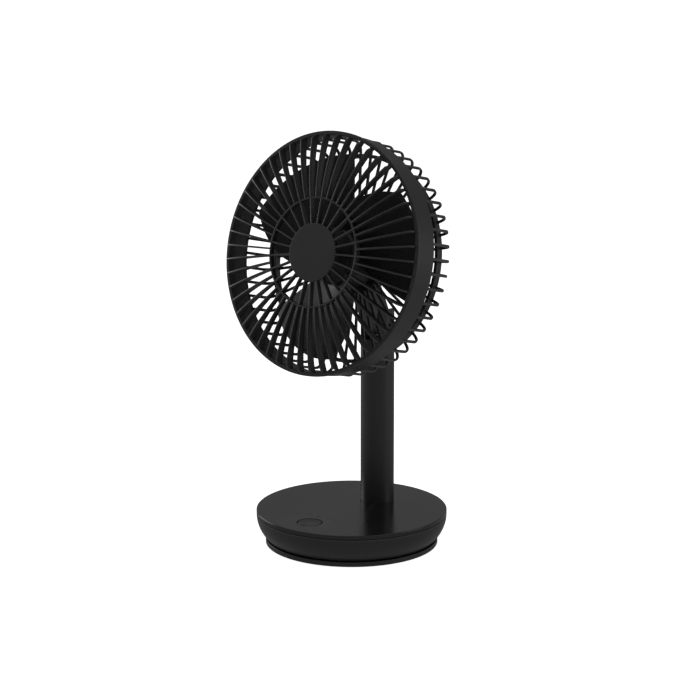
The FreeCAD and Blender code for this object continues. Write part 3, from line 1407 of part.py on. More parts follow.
def write():
    """Write one STEP file for each piece."""
    os.makedirs("parts", exist_ok=True)
    for piece in pieces():
        piece.Shape.exportStep(f"parts/{piece.Label}.step")
        box = piece.Shape.optimalBoundingBox()
        print(f"{piece.Label}: {len(piece.Shape.Solids)} solid(s), {piece.Shape.Volume:.0f} mm3, "
              f"z {box.ZMin:.1f} to {box.ZMax:.1f}")


build()
check()
write()
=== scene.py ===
"""Looks of a rechargeable desk fan: black satin mouldings on a swivelling round base.

Sizes inside the classes are in millimetres. A piece of the head is drawn about the fan axis, with Z to
the front and zero at the shroud's front edge, and is then turned into its place in the fan.
"""
import logging
import math
from dataclasses import dataclass
from enum import Enum

import bmesh
import bpy
from mathutils import Matrix, Vector


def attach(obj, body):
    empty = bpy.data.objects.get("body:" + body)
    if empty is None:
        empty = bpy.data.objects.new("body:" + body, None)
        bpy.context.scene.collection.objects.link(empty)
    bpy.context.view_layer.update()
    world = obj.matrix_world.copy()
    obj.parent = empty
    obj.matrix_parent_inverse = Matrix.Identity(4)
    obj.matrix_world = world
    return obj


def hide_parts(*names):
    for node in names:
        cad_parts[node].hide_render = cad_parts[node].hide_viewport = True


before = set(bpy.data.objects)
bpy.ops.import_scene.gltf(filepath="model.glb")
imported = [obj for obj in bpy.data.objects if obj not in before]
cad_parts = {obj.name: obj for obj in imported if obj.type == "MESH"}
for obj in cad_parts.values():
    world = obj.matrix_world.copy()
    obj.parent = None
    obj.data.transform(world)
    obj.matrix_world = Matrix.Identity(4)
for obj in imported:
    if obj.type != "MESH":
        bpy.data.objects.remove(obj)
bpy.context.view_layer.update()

LOG = logging.getLogger("desk_fan")
MM = 0.001
FLAT_AREA = 0.0002
SHARP_ANGLE = 32.0
SPIN_MERGE = 1e-4
CUT_MERGE = 1e-6
CUT_FLATNESS = 1.0
RIM_STEPS = 240
BOWL_STEPS = 200
RING_STEPS = 150
TUBE_STEPS = 128
DISC_STEPS = 120
LAMPS = (-13.11, -4.37, 4.37, 13.11)
LAMP_ROW = -34.8
Colour = tuple[float, float, float]
Section = list[tuple[float, float, float]]


class Body(Enum):
    """Moving groups of the fan."""

    STAND = "stand"
    TURNTABLE = "turntable"
    BUTTON = "button"
    HEAD = "head"


# ---------------------------------------------------------------- finishes


class NodeBoard:
    """A material's node tree, with short calls for the nodes that the finishes share."""

    def __init__(self, name: str) -> None:
        """Start a material.

        Args:
            name: the material's name.
        """
        self.material = bpy.data.materials.new(name)
        self.material.use_nodes = True
        self.tree = self.material.node_tree
        self.shader = self.tree.nodes["Principled BSDF"]
        self.place = self.add("ShaderNodeTexCoord").outputs["Object"]

    def add(self, kind: str, **settings: object) -> bpy.types.Node:
        """Add a node and set its own properties.

        Args:
            kind: the node's type.
            settings: property names and values.

        Returns:
            The node.
        """
        node = self.tree.nodes.new(kind)
        for name, value in settings.items():
            setattr(node, name, value)
        return node

    def join(self, source: bpy.types.NodeSocket, target: bpy.types.NodeSocket) -> None:
        """Link two sockets."""
        self.tree.links.new(source, target)

    def noise(self, scale: float, detail: float, stretch: Colour = (1.0, 1.0, 1.0)) -> bpy.types.NodeSocket:
        """Add noise over the piece.

        Args:
            scale: cells in a metre.
            detail: octaves of finer noise.
            stretch: scale along each axis.

        Returns:
            The noise's factor.
        """
        mapping = self.add("ShaderNodeMapping")
        mapping.inputs["Scale"].default_value = stretch
        self.join(self.place, mapping.inputs["Vector"])
        node = self.add("ShaderNodeTexNoise")
        node.inputs["Scale"].default_value = scale
        node.inputs["Detail"].default_value = detail
        self.join(mapping.outputs["Vector"], node.inputs["Vector"])
        return node.outputs["Fac"]

    def spread(self, source: bpy.types.NodeSocket, low: float, high: float,
               first: float = 0.3, last: float = 0.7) -> bpy.types.NodeSocket:
        """Map a factor to a range.

        Args:
            source: the factor.
            low: result at the first value.
            high: result at the last value.
            first: factor that gives low.
            last: factor that gives high.

        Returns:
            The mapped value.
        """
        node = self.add("ShaderNodeMapRange")
        for name, value in (("From Min", first), ("From Max", last), ("To Min", low), ("To Max", high)):
            node.inputs[name].default_value = value
        self.join(source, node.inputs["Value"])
        return node.outputs["Result"]

    def blend(self, share: bpy.types.NodeSocket, first: bpy.types.NodeSocket | Colour,
              second: bpy.types.NodeSocket | Colour) -> bpy.types.NodeSocket:
        """Mix two colours.

        Args:
            share: how much of the second shows.
            first: a colour or a socket.
            second: a colour or a socket.

        Returns:
            The mixed colour.
        """
        node = self.add("ShaderNodeMix", data_type="RGBA")
        self.join(share, node.inputs["Factor"])
        for name, value in (("A", first), ("B", second)):
            socket = next(s for s in node.inputs if s.name == name and s.type == "RGBA")
            if isinstance(value, tuple):
                socket.default_value = (*value, 1.0)
            else:
                self.join(value, socket)
        return next(s for s in node.outputs if s.type == "RGBA")

    def summed(self, first: bpy.types.NodeSocket, second: bpy.types.NodeSocket) -> bpy.types.NodeSocket:
        """Add two values.

        Args:
            first: a value.
            second: a value.

        Returns:
            Their sum.
        """
        node = self.add("ShaderNodeMath", operation="ADD")
        self.join(first, node.inputs[0])
        self.join(second, node.inputs[1])
        return node.outputs["Value"]

    def edges(self) -> bpy.types.NodeSocket:
        """Return how much a point lies on an outer edge."""
        low, high = 0.515, 0.57
        return self.spread(self.add("ShaderNodeNewGeometry").outputs["Pointiness"], 0.0, 1.0, low, high)

    def relief(self, height: bpy.types.NodeSocket, depth: float, strength: float = 1.0) -> None:
        """Raise the surface.

        Args:
            height: height from 0 to 1.
            depth: metres for a height of 1.
            strength: how strongly the relief shows.
        """
        bump = self.add("ShaderNodeBump")
        bump.inputs["Strength"].default_value = strength
        bump.inputs["Distance"].default_value = depth
        self.join(height, bump.inputs["Height"])
        self.join(bump.outputs["Normal"], self.shader.inputs["Normal"])

    def set(self, **values: object) -> None:
        """Set the shader's own sockets, with underscores for spaces."""
        for name, value in values.items():
            self.shader.inputs[name.replace("_", " ")].default_value = value


@dataclass(frozen=True)
class MouldedPlastic:
    """Black moulded plastic with a fine spark-eroded grain, faint clouding, smoother outer edges and a painted
    highlight that lightens the colour along them.
    """

    name: str
    colour: Colour
    roughness: float
    grain: float = 2600.0
    grain_depth: float = 0.000012
    clouding: float = 0.05
    cloud_scale: float = 38.0
    broad_scale: float = 11.0
    specular: float = 0.5
    # Gain of the painted edge highlight: how much lighter the base colour is on outer edges.
    edge_highlight: float = 2.2
    edge_polish: float = -0.06
    dulling: float = 0.82

    def material(self) -> bpy.types.Material:
        """Return the material."""
        board = NodeBoard(self.name)
        clouds = board.noise(self.cloud_scale, 4.0)
        broad = board.noise(self.broad_scale, 2.0)
        fine = board.noise(self.grain, 2.0)
        # Painted highlight: outer edges found by pointiness get a lighter base colour, and also a lower
        # roughness.
        edge_sheen_mask = board.edges()
        dull = tuple(c * self.dulling for c in self.colour)
        lit = tuple(c * self.edge_highlight for c in self.colour)
        toned = board.blend(board.spread(broad, 0.0, 1.0), dull, self.colour)
        board.join(board.blend(edge_sheen_mask, toned, lit), board.shader.inputs["Base Color"])
        rough = board.spread(clouds, self.roughness - self.clouding, self.roughness + self.clouding)
        polish = board.spread(edge_sheen_mask, 0.0, self.edge_polish, 0.0, 1.0)
        board.join(board.summed(rough, polish), board.shader.inputs["Roughness"])
        board.relief(fine, self.grain_depth)
        board.set(Specular_IOR_Level=self.specular)
        return board.material


@dataclass(frozen=True)
class MachinedMetal:
    """Turned or rolled metal with fine lines along its work and small stains."""

    name: str
    colour: Colour
    roughness: float
    metallic: float = 1.0
    lines: Colour = (1.0, 1.0, 14.0)
    line_scale: float = 420.0
    line_depth: float = 0.000006
    stain_scale: float = 90.0
    stain: float = 0.72
    smoother: float = 0.08
    rougher: float = 0.12

    def material(self) -> bpy.types.Material:
        """Return the material."""
        board = NodeBoard(self.name)
        lines = board.noise(self.line_scale, 5.0, self.lines)
        stains = board.spread(board.noise(self.stain_scale, 4.0), 0.0, 1.0)
        dark = tuple(c * self.stain for c in self.colour)
        board.join(board.blend(stains, dark, self.colour), board.shader.inputs["Base Color"])
        board.join(board.spread(lines, self.roughness - self.smoother, self.roughness + self.rougher),
                   board.shader.inputs["Roughness"])
        board.relief(lines, self.line_depth)
        board.set(Metallic=self.metallic)
        return board.material


@dataclass(frozen=True)
class Rubber:
    """Dull rubber or foam with a soft mottled surface."""

    name: str
    colour: Colour
    pores: float = 1500.0
    depth: float = 0.00004
    roughness: float = 0.78
    specular: float = 0.35
    dust_scale: float = 60.0
    dust_gain: float = 1.7
    dust_lift: float = 0.004

    def material(self) -> bpy.types.Material:
        """Return the material."""
        board = NodeBoard(self.name)
        pores = board.noise(self.pores, 3.0)
        dust = board.spread(board.noise(self.dust_scale, 5.0), 0.0, 1.0, 0.45, 0.8)
        pale = tuple(c * self.dust_gain + self.dust_lift for c in self.colour)
        board.join(board.blend(dust, self.colour, pale), board.shader.inputs["Base Color"])
        board.join(board.spread(pores, self.roughness - 0.08, self.roughness + 0.1),
                   board.shader.inputs["Roughness"])
        board.relief(pores, self.depth)
        board.set(Specular_IOR_Level=self.specular)
        return board.material


@dataclass(frozen=True)
class CircuitBoard:
    """Solder mask with the pale run of copper tracks under it."""

    name: str
    colour: Colour
    track: Colour
    track_scale: float = 190.0
    track_gap: float = 0.07
    track_depth: float = 0.00003
    weave_scale: float = 700.0
    roughness: tuple[float, float] = (0.24, 0.4)

    def material(self) -> bpy.types.Material:
        """Return the material."""
        board = NodeBoard(self.name)
        tracks = board.add("ShaderNodeTexBrick", offset=0.35, squash=0.6)
        tracks.inputs["Scale"].default_value = self.track_scale
        tracks.inputs["Mortar Size"].default_value = self.track_gap
        board.join(board.place, tracks.inputs["Vector"])
        weave = board.noise(self.weave_scale, 3.0)
        mask = board.blend(tracks.outputs["Fac"], self.colour, self.track)
        board.join(mask, board.shader.inputs["Base Color"])
        board.join(board.spread(weave, *self.roughness), board.shader.inputs["Roughness"])
        board.relief(tracks.outputs["Fac"], self.track_depth)
        return board.material


@dataclass(frozen=True)
class WoundCopper:
    """Enamelled wire laid side by side, with painted shade darkening the grooves between the turns."""

    name: str
    colour: Colour
    pitch: float = 0.00042
    bands: float = 20.0
    waviness: float = 0.6
    shade: float = 0.3
    depth: float = 0.0001
    enamel_scale: float = 300.0
    roughness: tuple[float, float] = (0.25, 0.4)

    def material(self) -> bpy.types.Material:
        """Return the material."""
        board = NodeBoard(self.name)
        turns = board.add("ShaderNodeTexWave", bands_direction="Z")
        turns.inputs["Scale"].default_value = 1.0 / self.pitch / self.bands
        turns.inputs["Distortion"].default_value = self.waviness
        board.join(board.place, turns.inputs["Vector"])
        # Painted shade: the base colour darkens to this share in the grooves between the turns of wire.
        dark = tuple(c * self.shade for c in self.colour)
        board.join(board.blend(turns.outputs["Fac"], dark, self.colour), board.shader.inputs["Base Color"])
        enamel = board.spread(board.noise(self.enamel_scale, 2.0), *self.roughness)
        board.join(enamel, board.shader.inputs["Roughness"])
        board.relief(turns.outputs["Fac"], self.depth)
        board.set(Metallic=1.0)
        return board.material


@dataclass(frozen=True)
class FilmWrap:
    """Shrunk film round the battery, with small wrinkles and painted shade in their folds."""

    name: str
    colour: Colour
    wrinkle_scale: float = 120.0
    wrinkle_stretch: Colour = (1.0, 0.25, 1.0)
    wrinkle_depth: float = 0.0002
    wrinkle_strength: float = 0.6
    shade: float = 0.7
    roughness: tuple[float, float] = (0.22, 0.36)

    def material(self) -> bpy.types.Material:
        """Return the material."""
        board = NodeBoard(self.name)
        wrinkles = board.noise(self.wrinkle_scale, 6.0, self.wrinkle_stretch)
        # Painted shade: the base colour darkens to this share in the folds of the wrinkles.
        deep = tuple(c * self.shade for c in self.colour)
        folds = board.spread(wrinkles, 0.0, 1.0)
        board.join(board.blend(folds, deep, self.colour), board.shader.inputs["Base Color"])
        board.join(board.spread(wrinkles, *self.roughness), board.shader.inputs["Roughness"])
        board.relief(wrinkles, self.wrinkle_depth, self.wrinkle_strength)
        return board.material


Finish = MouldedPlastic | MachinedMetal | Rubber | CircuitBoard | WoundCopper | FilmWrap

FINISHES: dict[str, Finish] = {
    "housing": MouldedPlastic("housing_plastic", (0.0085, 0.0085, 0.009), 0.4),
    "top_plate": MouldedPlastic("top_plate_plastic", (0.008, 0.008, 0.0085), 0.19, clouding=0.03),
    "grille": MouldedPlastic("grille_plastic", (0.0105, 0.0105, 0.011), 0.42, grain=3000.0),
    "blades": MouldedPlastic("blade_plastic", (0.006, 0.006, 0.0063), 0.45),
    "button": MouldedPlastic("button_plastic", (0.0095, 0.0095, 0.01), 0.33),
    "lamp": MouldedPlastic("smoked_lens", (0.003, 0.003, 0.0032), 0.12, grain_depth=0.000002, clouding=0.03),
    "column": MouldedPlastic("column_plastic", (0.0105, 0.0105, 0.011), 0.42, grain=2200.0),
    "rubber": Rubber("foot_rubber", (0.012, 0.012, 0.012)),
    "nylon": MouldedPlastic("gear_nylon", (0.62, 0.6, 0.54), 0.42, grain=900.0, edge_highlight=1.1),
    "steel": MachinedMetal("screw_steel", (0.56, 0.56, 0.57), 0.3),
    "black_steel": MachinedMetal("black_steel", (0.045, 0.045, 0.047), 0.36, metallic=0.8),
    "board": CircuitBoard("circuit_board", (0.02, 0.12, 0.05), (0.05, 0.22, 0.1)),
    "copper": WoundCopper("coil_wire", (0.7, 0.33, 0.15)),
    "magnet": MachinedMetal("magnet_ferrite", (0.09, 0.09, 0.095), 0.5, metallic=0.6, line_scale=260.0),
    "battery": FilmWrap("battery_film", (0.05, 0.14, 0.36)),
    "foam": Rubber("battery_foam", (0.05, 0.05, 0.05), pores=800.0, depth=0.0002, roughness=0.9),
}

CAD_SLOTS: dict[str, tuple[str, ...]] = {
    "housing": ("foot_plate", "base_bowl", "switch_body"),
    "top_plate": ("top_cover",),
    "grille": ("shroud_ring", "front_grille", "rear_grille"),
    "blades": ("impeller", "impeller_nut"),
    "button": ("power_button", "switch_plunger"),
    "lamp": ("lamp_pipes",),
    "column": ("column_tube", "column_flange", "tilt_fork", "tilt_arm"),
    "rubber": ("foot_pad",),
    "nylon": ("thrust_washer", "sun_gear", "pinion_gear", "friction_washers", "lamp_chips"),
    "steel": ("charge_socket", "pinion_shaft", "swivel_motor", "motor_bearings", "rotor_shaft", "stator_core",
              "bearing_tube"),
    "black_steel": ("swivel_screw", "cover_screws", "board_screws", "swivel_motor_screws", "column_screws",
                    "hinge_bolt", "hinge_nut", "arm_screws", "rotor_can"),
    "board": ("main_board", "charge_board", "motor_board"),
    "copper": ("stator_coils",),
    "magnet": ("magnet_ring",),
    "battery": ("battery_pack",),
    "foam": ("battery_foam",),
}


class Paintbox:
    """Makes each finish once."""

    def __init__(self) -> None:
        """Start with nothing made."""
        self.made: dict[str, bpy.types.Material] = {}

    def __getitem__(self, slot: str) -> bpy.types.Material:
        """Return the material of a slot.

        Args:
            slot: the slot's name.

        Returns:
            The material, made at the first call.
        """
        if slot not in self.made:
            self.made[slot] = FINISHES[slot].material()
        return self.made[slot]


PAINT = Paintbox()


# ---------------------------------------------------------------- shaping


class Workpiece:
    """A mesh in the making."""

    def __init__(self) -> None:
        """Start empty."""
        self.mesh = bmesh.new()

    def everything(self) -> list[bmesh.types.BMVert | bmesh.types.BMEdge | bmesh.types.BMFace]:
        """Return all verts, edges and faces."""
        return [*self.mesh.verts, *self.mesh.edges, *self.mesh.faces]

    def turned(self, profile: Section, steps: int = 128, segments: int = 4, closed: bool = True) -> "Workpiece":
        """Turn a profile right round the Z axis.

        Args:
            profile: radius, height and corner rounding of each point.
            steps: steps in the turn.
            segments: steps in each rounded corner.
            closed: join the last point to the first.

        Returns:
            This workpiece.
        """
        new = bmesh.new()
        verts = [new.verts.new((radius, 0.0, height)) for radius, height, _ in profile]
        pairs = list(zip(verts, verts[1:]))
        if closed:
            pairs.append((verts[-1], verts[0]))
        for pair in pairs:
            new.edges.new(pair)
        rounds = {round_off for _, _, round_off in profile if round_off > 0}
        for size in sorted(rounds):
            corners = [vert for vert, point in zip(verts, profile) if point[2] == size and vert.is_valid]
            bmesh.ops.bevel(new, geom=corners, offset=size, offset_type="OFFSET", segments=segments,
                            profile=0.5, affect="VERTICES", material=-1)
        bmesh.ops.spin(new, geom=[*new.verts, *new.edges], cent=(0, 0, 0), axis=(0, 0, 1),
                       angle=math.tau, steps=steps, use_merge=True)
        bmesh.ops.remove_doubles(new, verts=new.verts, dist=SPIN_MERGE)
        bmesh.ops.recalc_face_normals(new, faces=new.faces)
        return self.take(new)

    def take(self, other: bmesh.types.BMesh) -> "Workpiece":
        """Add another mesh to this one and free it.

        Args:
            other: the mesh.

        Returns:
            This workpiece.
        """
        holder = bpy.data.meshes.new("holder")
        other.to_mesh(holder)
        other.free()
        self.mesh.from_mesh(holder)
        bpy.data.meshes.remove(holder)
        return self

    def bar(self, width: float, depth: float, corner: float, path: Section) -> "Workpiece":
        """Sweep a rounded bar along a path in the XZ plane.

        Args:
            width: size across the plane.
            depth: size within the plane.
            corner: rounding of the section.
            path: x, z and heading in degrees at each station.

        Returns:
            This workpiece.
        """
        new = bmesh.new()
        bmesh.ops.create_grid(new, x_segments=1, y_segments=1, size=0.5)
        bmesh.ops.scale(new, vec=(width, depth, 1.0), verts=new.verts)
        front = [vert for vert in new.verts if vert.co.y > 0]
        rear = [vert for vert in new.verts if vert.co.y < 0]
        for verts, segments in ((front, 3), (rear, 2)):
            bmesh.ops.bevel(new, geom=verts, offset=corner, offset_type="OFFSET", segments=segments,
                            profile=0.5, affect="VERTICES", material=-1)
        stand_up = Matrix(((0, 0, 1), (1, 0, 0), (0, 1, 0))).to_4x4()
        bmesh.ops.transform(new, matrix=stand_up, verts=new.verts)
        x, z, heading = path[0]
        lean = Matrix.Rotation(-math.radians(heading), 3, "Y")
        bmesh.ops.rotate(new, cent=(0, 0, 0), matrix=lean, verts=new.verts)
        bmesh.ops.translate(new, vec=(x, 0.0, z), verts=new.verts)
        face = new.faces[:]
        for (x0, z0, before), (x1, z1, after) in zip(path, path[1:]):
            made = bmesh.ops.extrude_face_region(new, geom=face)
            verts = [item for item in made["geom"] if isinstance(item, bmesh.types.BMVert)]
            face = [item for item in made["geom"] if isinstance(item, bmesh.types.BMFace)]
            bmesh.ops.translate(new, vec=(x1 - x0, 0.0, z1 - z0), verts=verts)
            lean = Matrix.Rotation(-math.radians(after - before), 3, "Y")
            bmesh.ops.rotate(new, cent=(x1, 0.0, z1), matrix=lean, verts=verts)
        open_end = [edge for edge in new.edges if edge.is_boundary]
        if open_end:
            bmesh.ops.holes_fill(new, edges=open_end, sides=0)
        bmesh.ops.recalc_face_normals(new, faces=new.faces)
        return self.take(new)

    def slab(self, outline: list[tuple[float, float]], thickness: float, rounding: float) -> "Workpiece":
        """Thicken an outline in the XZ plane evenly to both sides and round its rims.

        Args:
            outline: x and z of each point.
            thickness: size along Y.
            rounding: rounding of both rims.

        Returns:
            This workpiece.
        """
        new = bmesh.new()
        verts = [new.verts.new((x, -thickness / 2, z)) for x, z in outline]
        edges = [new.edges.new(pair) for pair in zip(verts, verts[1:] + verts[:1])]
        side = bmesh.ops.contextual_create(new, geom=edges)["faces"]
        made = bmesh.ops.extrude_face_region(new, geom=side, use_keep_orig=True)
        moved = [item for item in made["geom"] if isinstance(item, bmesh.types.BMVert)]
        bmesh.ops.translate(new, vec=(0.0, thickness, 0.0), verts=moved)
        rims = [edge for edge in new.edges if abs(edge.verts[0].co.y - edge.verts[1].co.y) < thickness / 2]
        bmesh.ops.bevel(new, geom=rims, offset=rounding, offset_type="OFFSET", segments=2, profile=0.5,
                        affect="EDGES", clamp_overlap=True, material=-1)
        bmesh.ops.recalc_face_normals(new, faces=new.faces)
        return self.take(new)

    def around(self, count: int) -> "Workpiece":
        """Repeat everything about the Z axis."""
        bmesh.ops.spin(self.mesh, geom=self.everything(), cent=(0, 0, 0), axis=(0, 0, 1),
                       angle=math.tau * (count - 1) / count, steps=count - 1, use_duplicate=True)
        return self

    def rotated(self, degrees: float, axis: str = "Z") -> "Workpiece":
        """Turn everything about an axis through the origin."""
        bmesh.ops.rotate(self.mesh, cent=(0, 0, 0), matrix=Matrix.Rotation(math.radians(degrees), 3, axis),
                         verts=self.mesh.verts)
        return self

    def moved(self, x: float, y: float, z: float) -> "Workpiece":
        """Move everything."""
        bmesh.ops.translate(self.mesh, vec=(x, y, z), verts=self.mesh.verts)
        return self

    def box(self, low: tuple[float, float, float], high: tuple[float, float, float]) -> "Workpiece":
        """Add a block.

        Args:
            low: its lowest corner.
            high: its highest corner.

        Returns:
            This workpiece.
        """
        new = bmesh.new()
        bmesh.ops.create_cube(new, size=1.0)
        bmesh.ops.scale(new, vec=[b - a for a, b in zip(low, high)], verts=new.verts)
        bmesh.ops.translate(new, vec=[(a + b) / 2 for a, b in zip(low, high)], verts=new.verts)
        return self.take(new)

    def rod(self, radius: float, low: float, high: float, sides: int = 48) -> "Workpiece":
        """Add an upright cylinder about the Z axis.

        Args:
            radius: its radius.
            low: height of its lower end.
            high: height of its upper end.
            sides: flats round it.

        Returns:
            This workpiece.
        """
        new = bmesh.new()
        bmesh.ops.create_cone(new, cap_ends=True, segments=sides, radius1=radius, radius2=radius,
                              depth=high - low)
        bmesh.ops.translate(new, vec=(0, 0, (low + high) / 2), verts=new.verts)
        return self.take(new)

    def scene_object(self, name: str, place: Matrix = Matrix.Identity(4)) -> bpy.types.Object:
        """Put the workpiece in the scene.

        Args:
            name: the object's name.
            place: where it stands, in millimetres.

        Returns:
            The object, at the origin, with its place in its mesh.
        """
        bmesh.ops.transform(self.mesh, matrix=Matrix.Scale(MM, 4) @ place, verts=self.mesh.verts)
        data = bpy.data.meshes.new(name)
        self.mesh.to_mesh(data)
        self.mesh.free()
        shown = bpy.data.objects.new(name, data)
        bpy.context.scene.collection.objects.link(shown)
        return shown


def smooth_shading(piece: bpy.types.Object) -> None:
    """Shade a piece smooth except on large flats and across sharp edges.

    Args:
        piece: the piece.
    """
    work = bmesh.new()
    work.from_mesh(piece.data)
    limit = math.radians(SHARP_ANGLE)
    for face in work.faces:
        face.smooth = face.calc_area() < FLAT_AREA
    for edge in work.edges:
        edge.smooth = not (edge.is_manifold and edge.calc_face_angle(0.0) > limit)
    work.to_mesh(piece.data)
    work.free()


def carved(piece: bpy.types.Object, cutters: list[bpy.types.Object], operation: str = "DIFFERENCE") -> None:
    """Cut pieces away from a piece, and remove the cutters.

    Args:
        piece: the piece.
        cutters: what is taken away, or added.
        operation: the boolean to work.
    """
    for cutter in cutters:
        step = piece.modifiers.new("cut", "BOOLEAN")
        step.operation = operation
        step.solver = "EXACT"
        step.object = cutter
    bpy.context.view_layer.update()
    done = bpy.data.meshes.new_from_object(piece.evaluated_get(bpy.context.evaluated_depsgraph_get()))
    piece.modifiers.clear()
    piece.data = done
    for cutter in cutters:
        bpy.data.objects.remove(cutter)


def joined(piece: bpy.types.Object, others: list[bpy.types.Object]) -> None:
    """Fuse other pieces into a piece."""
    carved(piece, others, "UNION")


def eased(piece: bpy.types.Object, width: float, segments: int = 3, angle: float = 40.0) -> None:
    """Round a piece's sharp edges.

    Args:
        piece: the piece.
        width: rounding in millimetres.
        segments: steps in the rounding.
        angle: edges sharper than this are rounded.
    """
    work = bmesh.new()
    work.from_mesh(piece.data)
    bmesh.ops.remove_doubles(work, verts=work.verts, dist=CUT_MERGE)
    bmesh.ops.dissolve_limit(work, angle_limit=math.radians(CUT_FLATNESS), verts=work.verts, edges=work.edges)
    limit = math.radians(angle)
    sharp = [edge for edge in work.edges if edge.is_manifold and edge.calc_face_angle(0.0) > limit]
    bmesh.ops.bevel(work, geom=sharp, offset=width * MM, offset_type="OFFSET", segments=segments, profile=0.5,
                    affect="EDGES", clamp_overlap=True, material=-1)
    work.to_mesh(piece.data)
    work.free()


def dressed(piece: bpy.types.Object, slot: str, body: Body, *nodes: str) -> bpy.types.Object:
    """Give a piece its finish and its body.

    Args:
        piece: the piece.
        slot: the finish's slot.
        body: what it moves with.
        nodes: the CAD nodes it stands for.

    Returns:
        The piece.
    """
    piece.data.materials.clear()
    piece.data.materials.append(PAINT[slot])
    smooth_shading(piece)
    steady = piece.modifiers.new("face_weighted", "WEIGHTED_NORMAL")
    steady.keep_sharp = True
    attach(piece, body.value)
    if nodes:
        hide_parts(*nodes)
    LOG.info("%s: %d faces, rides on %s", piece.name, len(piece.data.polygons), body.value)
    return piece


def arc_between(first: tuple[float, float], last: tuple[float, float], radius: float,
                steps: int) -> list[tuple[float, float]]:
    """Return points along an arc that turns left from one point to another.

    Args:
        first: the arc's start.
        last: the arc's end.
        radius: its radius.
        steps: steps along it.

    Returns:
        x and z of each point.
    """
    start, end = Vector(first), Vector(last)
    chord = end - start
    rise = math.sqrt(max(radius ** 2 - (chord.length / 2) ** 2, 0.0))
    centre = (start + end) / 2 + Vector((-chord.y, chord.x)).normalized() * rise
    opening = math.atan2(start.y - centre.y, start.x - centre.x)
    sweep = 2 * math.asin(min(chord.length / 2 / radius, 1.0))
    turns = [opening + sweep * step / steps for step in range(steps + 1)]
    return [(centre.x + radius * math.cos(turn), centre.y + radius * math.sin(turn)) for turn in turns]


def corner_arc(x: float, z: float, radius: float, first: float, last: float, steps: int) -> Section:
    """Return stations round a bend.

    Args:
        x: centre of the bend.
        z: centre of the bend.
        radius: radius of the bend.
        first: heading at its start, in degrees.
        last: heading at its end.
        steps: steps in the bend.

    Returns:
        x, z and heading at each station.
    """
    side = 1.0 if last > first else -1.0
    stations = []
    for step in range(steps + 1):
        heading = first + (last - first) * step / steps
        turn = math.radians(heading - 90.0 * side)
        stations.append((x + radius * math.cos(turn), z + radius * math.sin(turn), heading))
    return stations


# ---------------------------------------------------------------- the head


@dataclass
class HeadFrame:
    """Where the head stands in the fan."""

    origin: tuple[float, float, float] = (0.0, -37.6568, 239.7055)
    tilt: float = 15.1

    def matrix(self) -> Matrix:
        """Return the head's place, in millimetres."""
        return Matrix.Translation(self.origin) @ Matrix.Rotation(math.radians(90.0 - self.tilt), 4, "X")


@dataclass
class Shroud:
    """Wide ring round the impeller, rebated at both ends."""

    head: HeadFrame
    outer: float = 93.2
    rear_outer: float = 92.8
    inner: float = 91.3
    seat: float = 92.15
    front: float = -2.65
    front_seat: float = -6.1
    rear_seat: float = -18.3
    rear: float = -21.8
    front_round: float = 0.12
    rear_round: float = 0.3
    lip_round: float = 0.1

    def build(self) -> None:
        """Turn the ring and dress it."""
        profile = [
            (self.seat, self.front, 0.0), (self.seat, self.front_seat, 0.0), (self.inner, self.front_seat, 0.0),
            (self.inner, self.rear_seat, 0.0), (self.seat, self.rear_seat, 0.0),
            (self.seat, self.rear, self.lip_round), (self.rear_outer, self.rear, self.rear_round),
            (self.outer, self.front, self.front_round)]
        ring = Workpiece().turned(profile, steps=RIM_STEPS)
        dressed(ring.scene_object("shroud", self.head.matrix()), "grille", Body.HEAD, "shroud_ring")


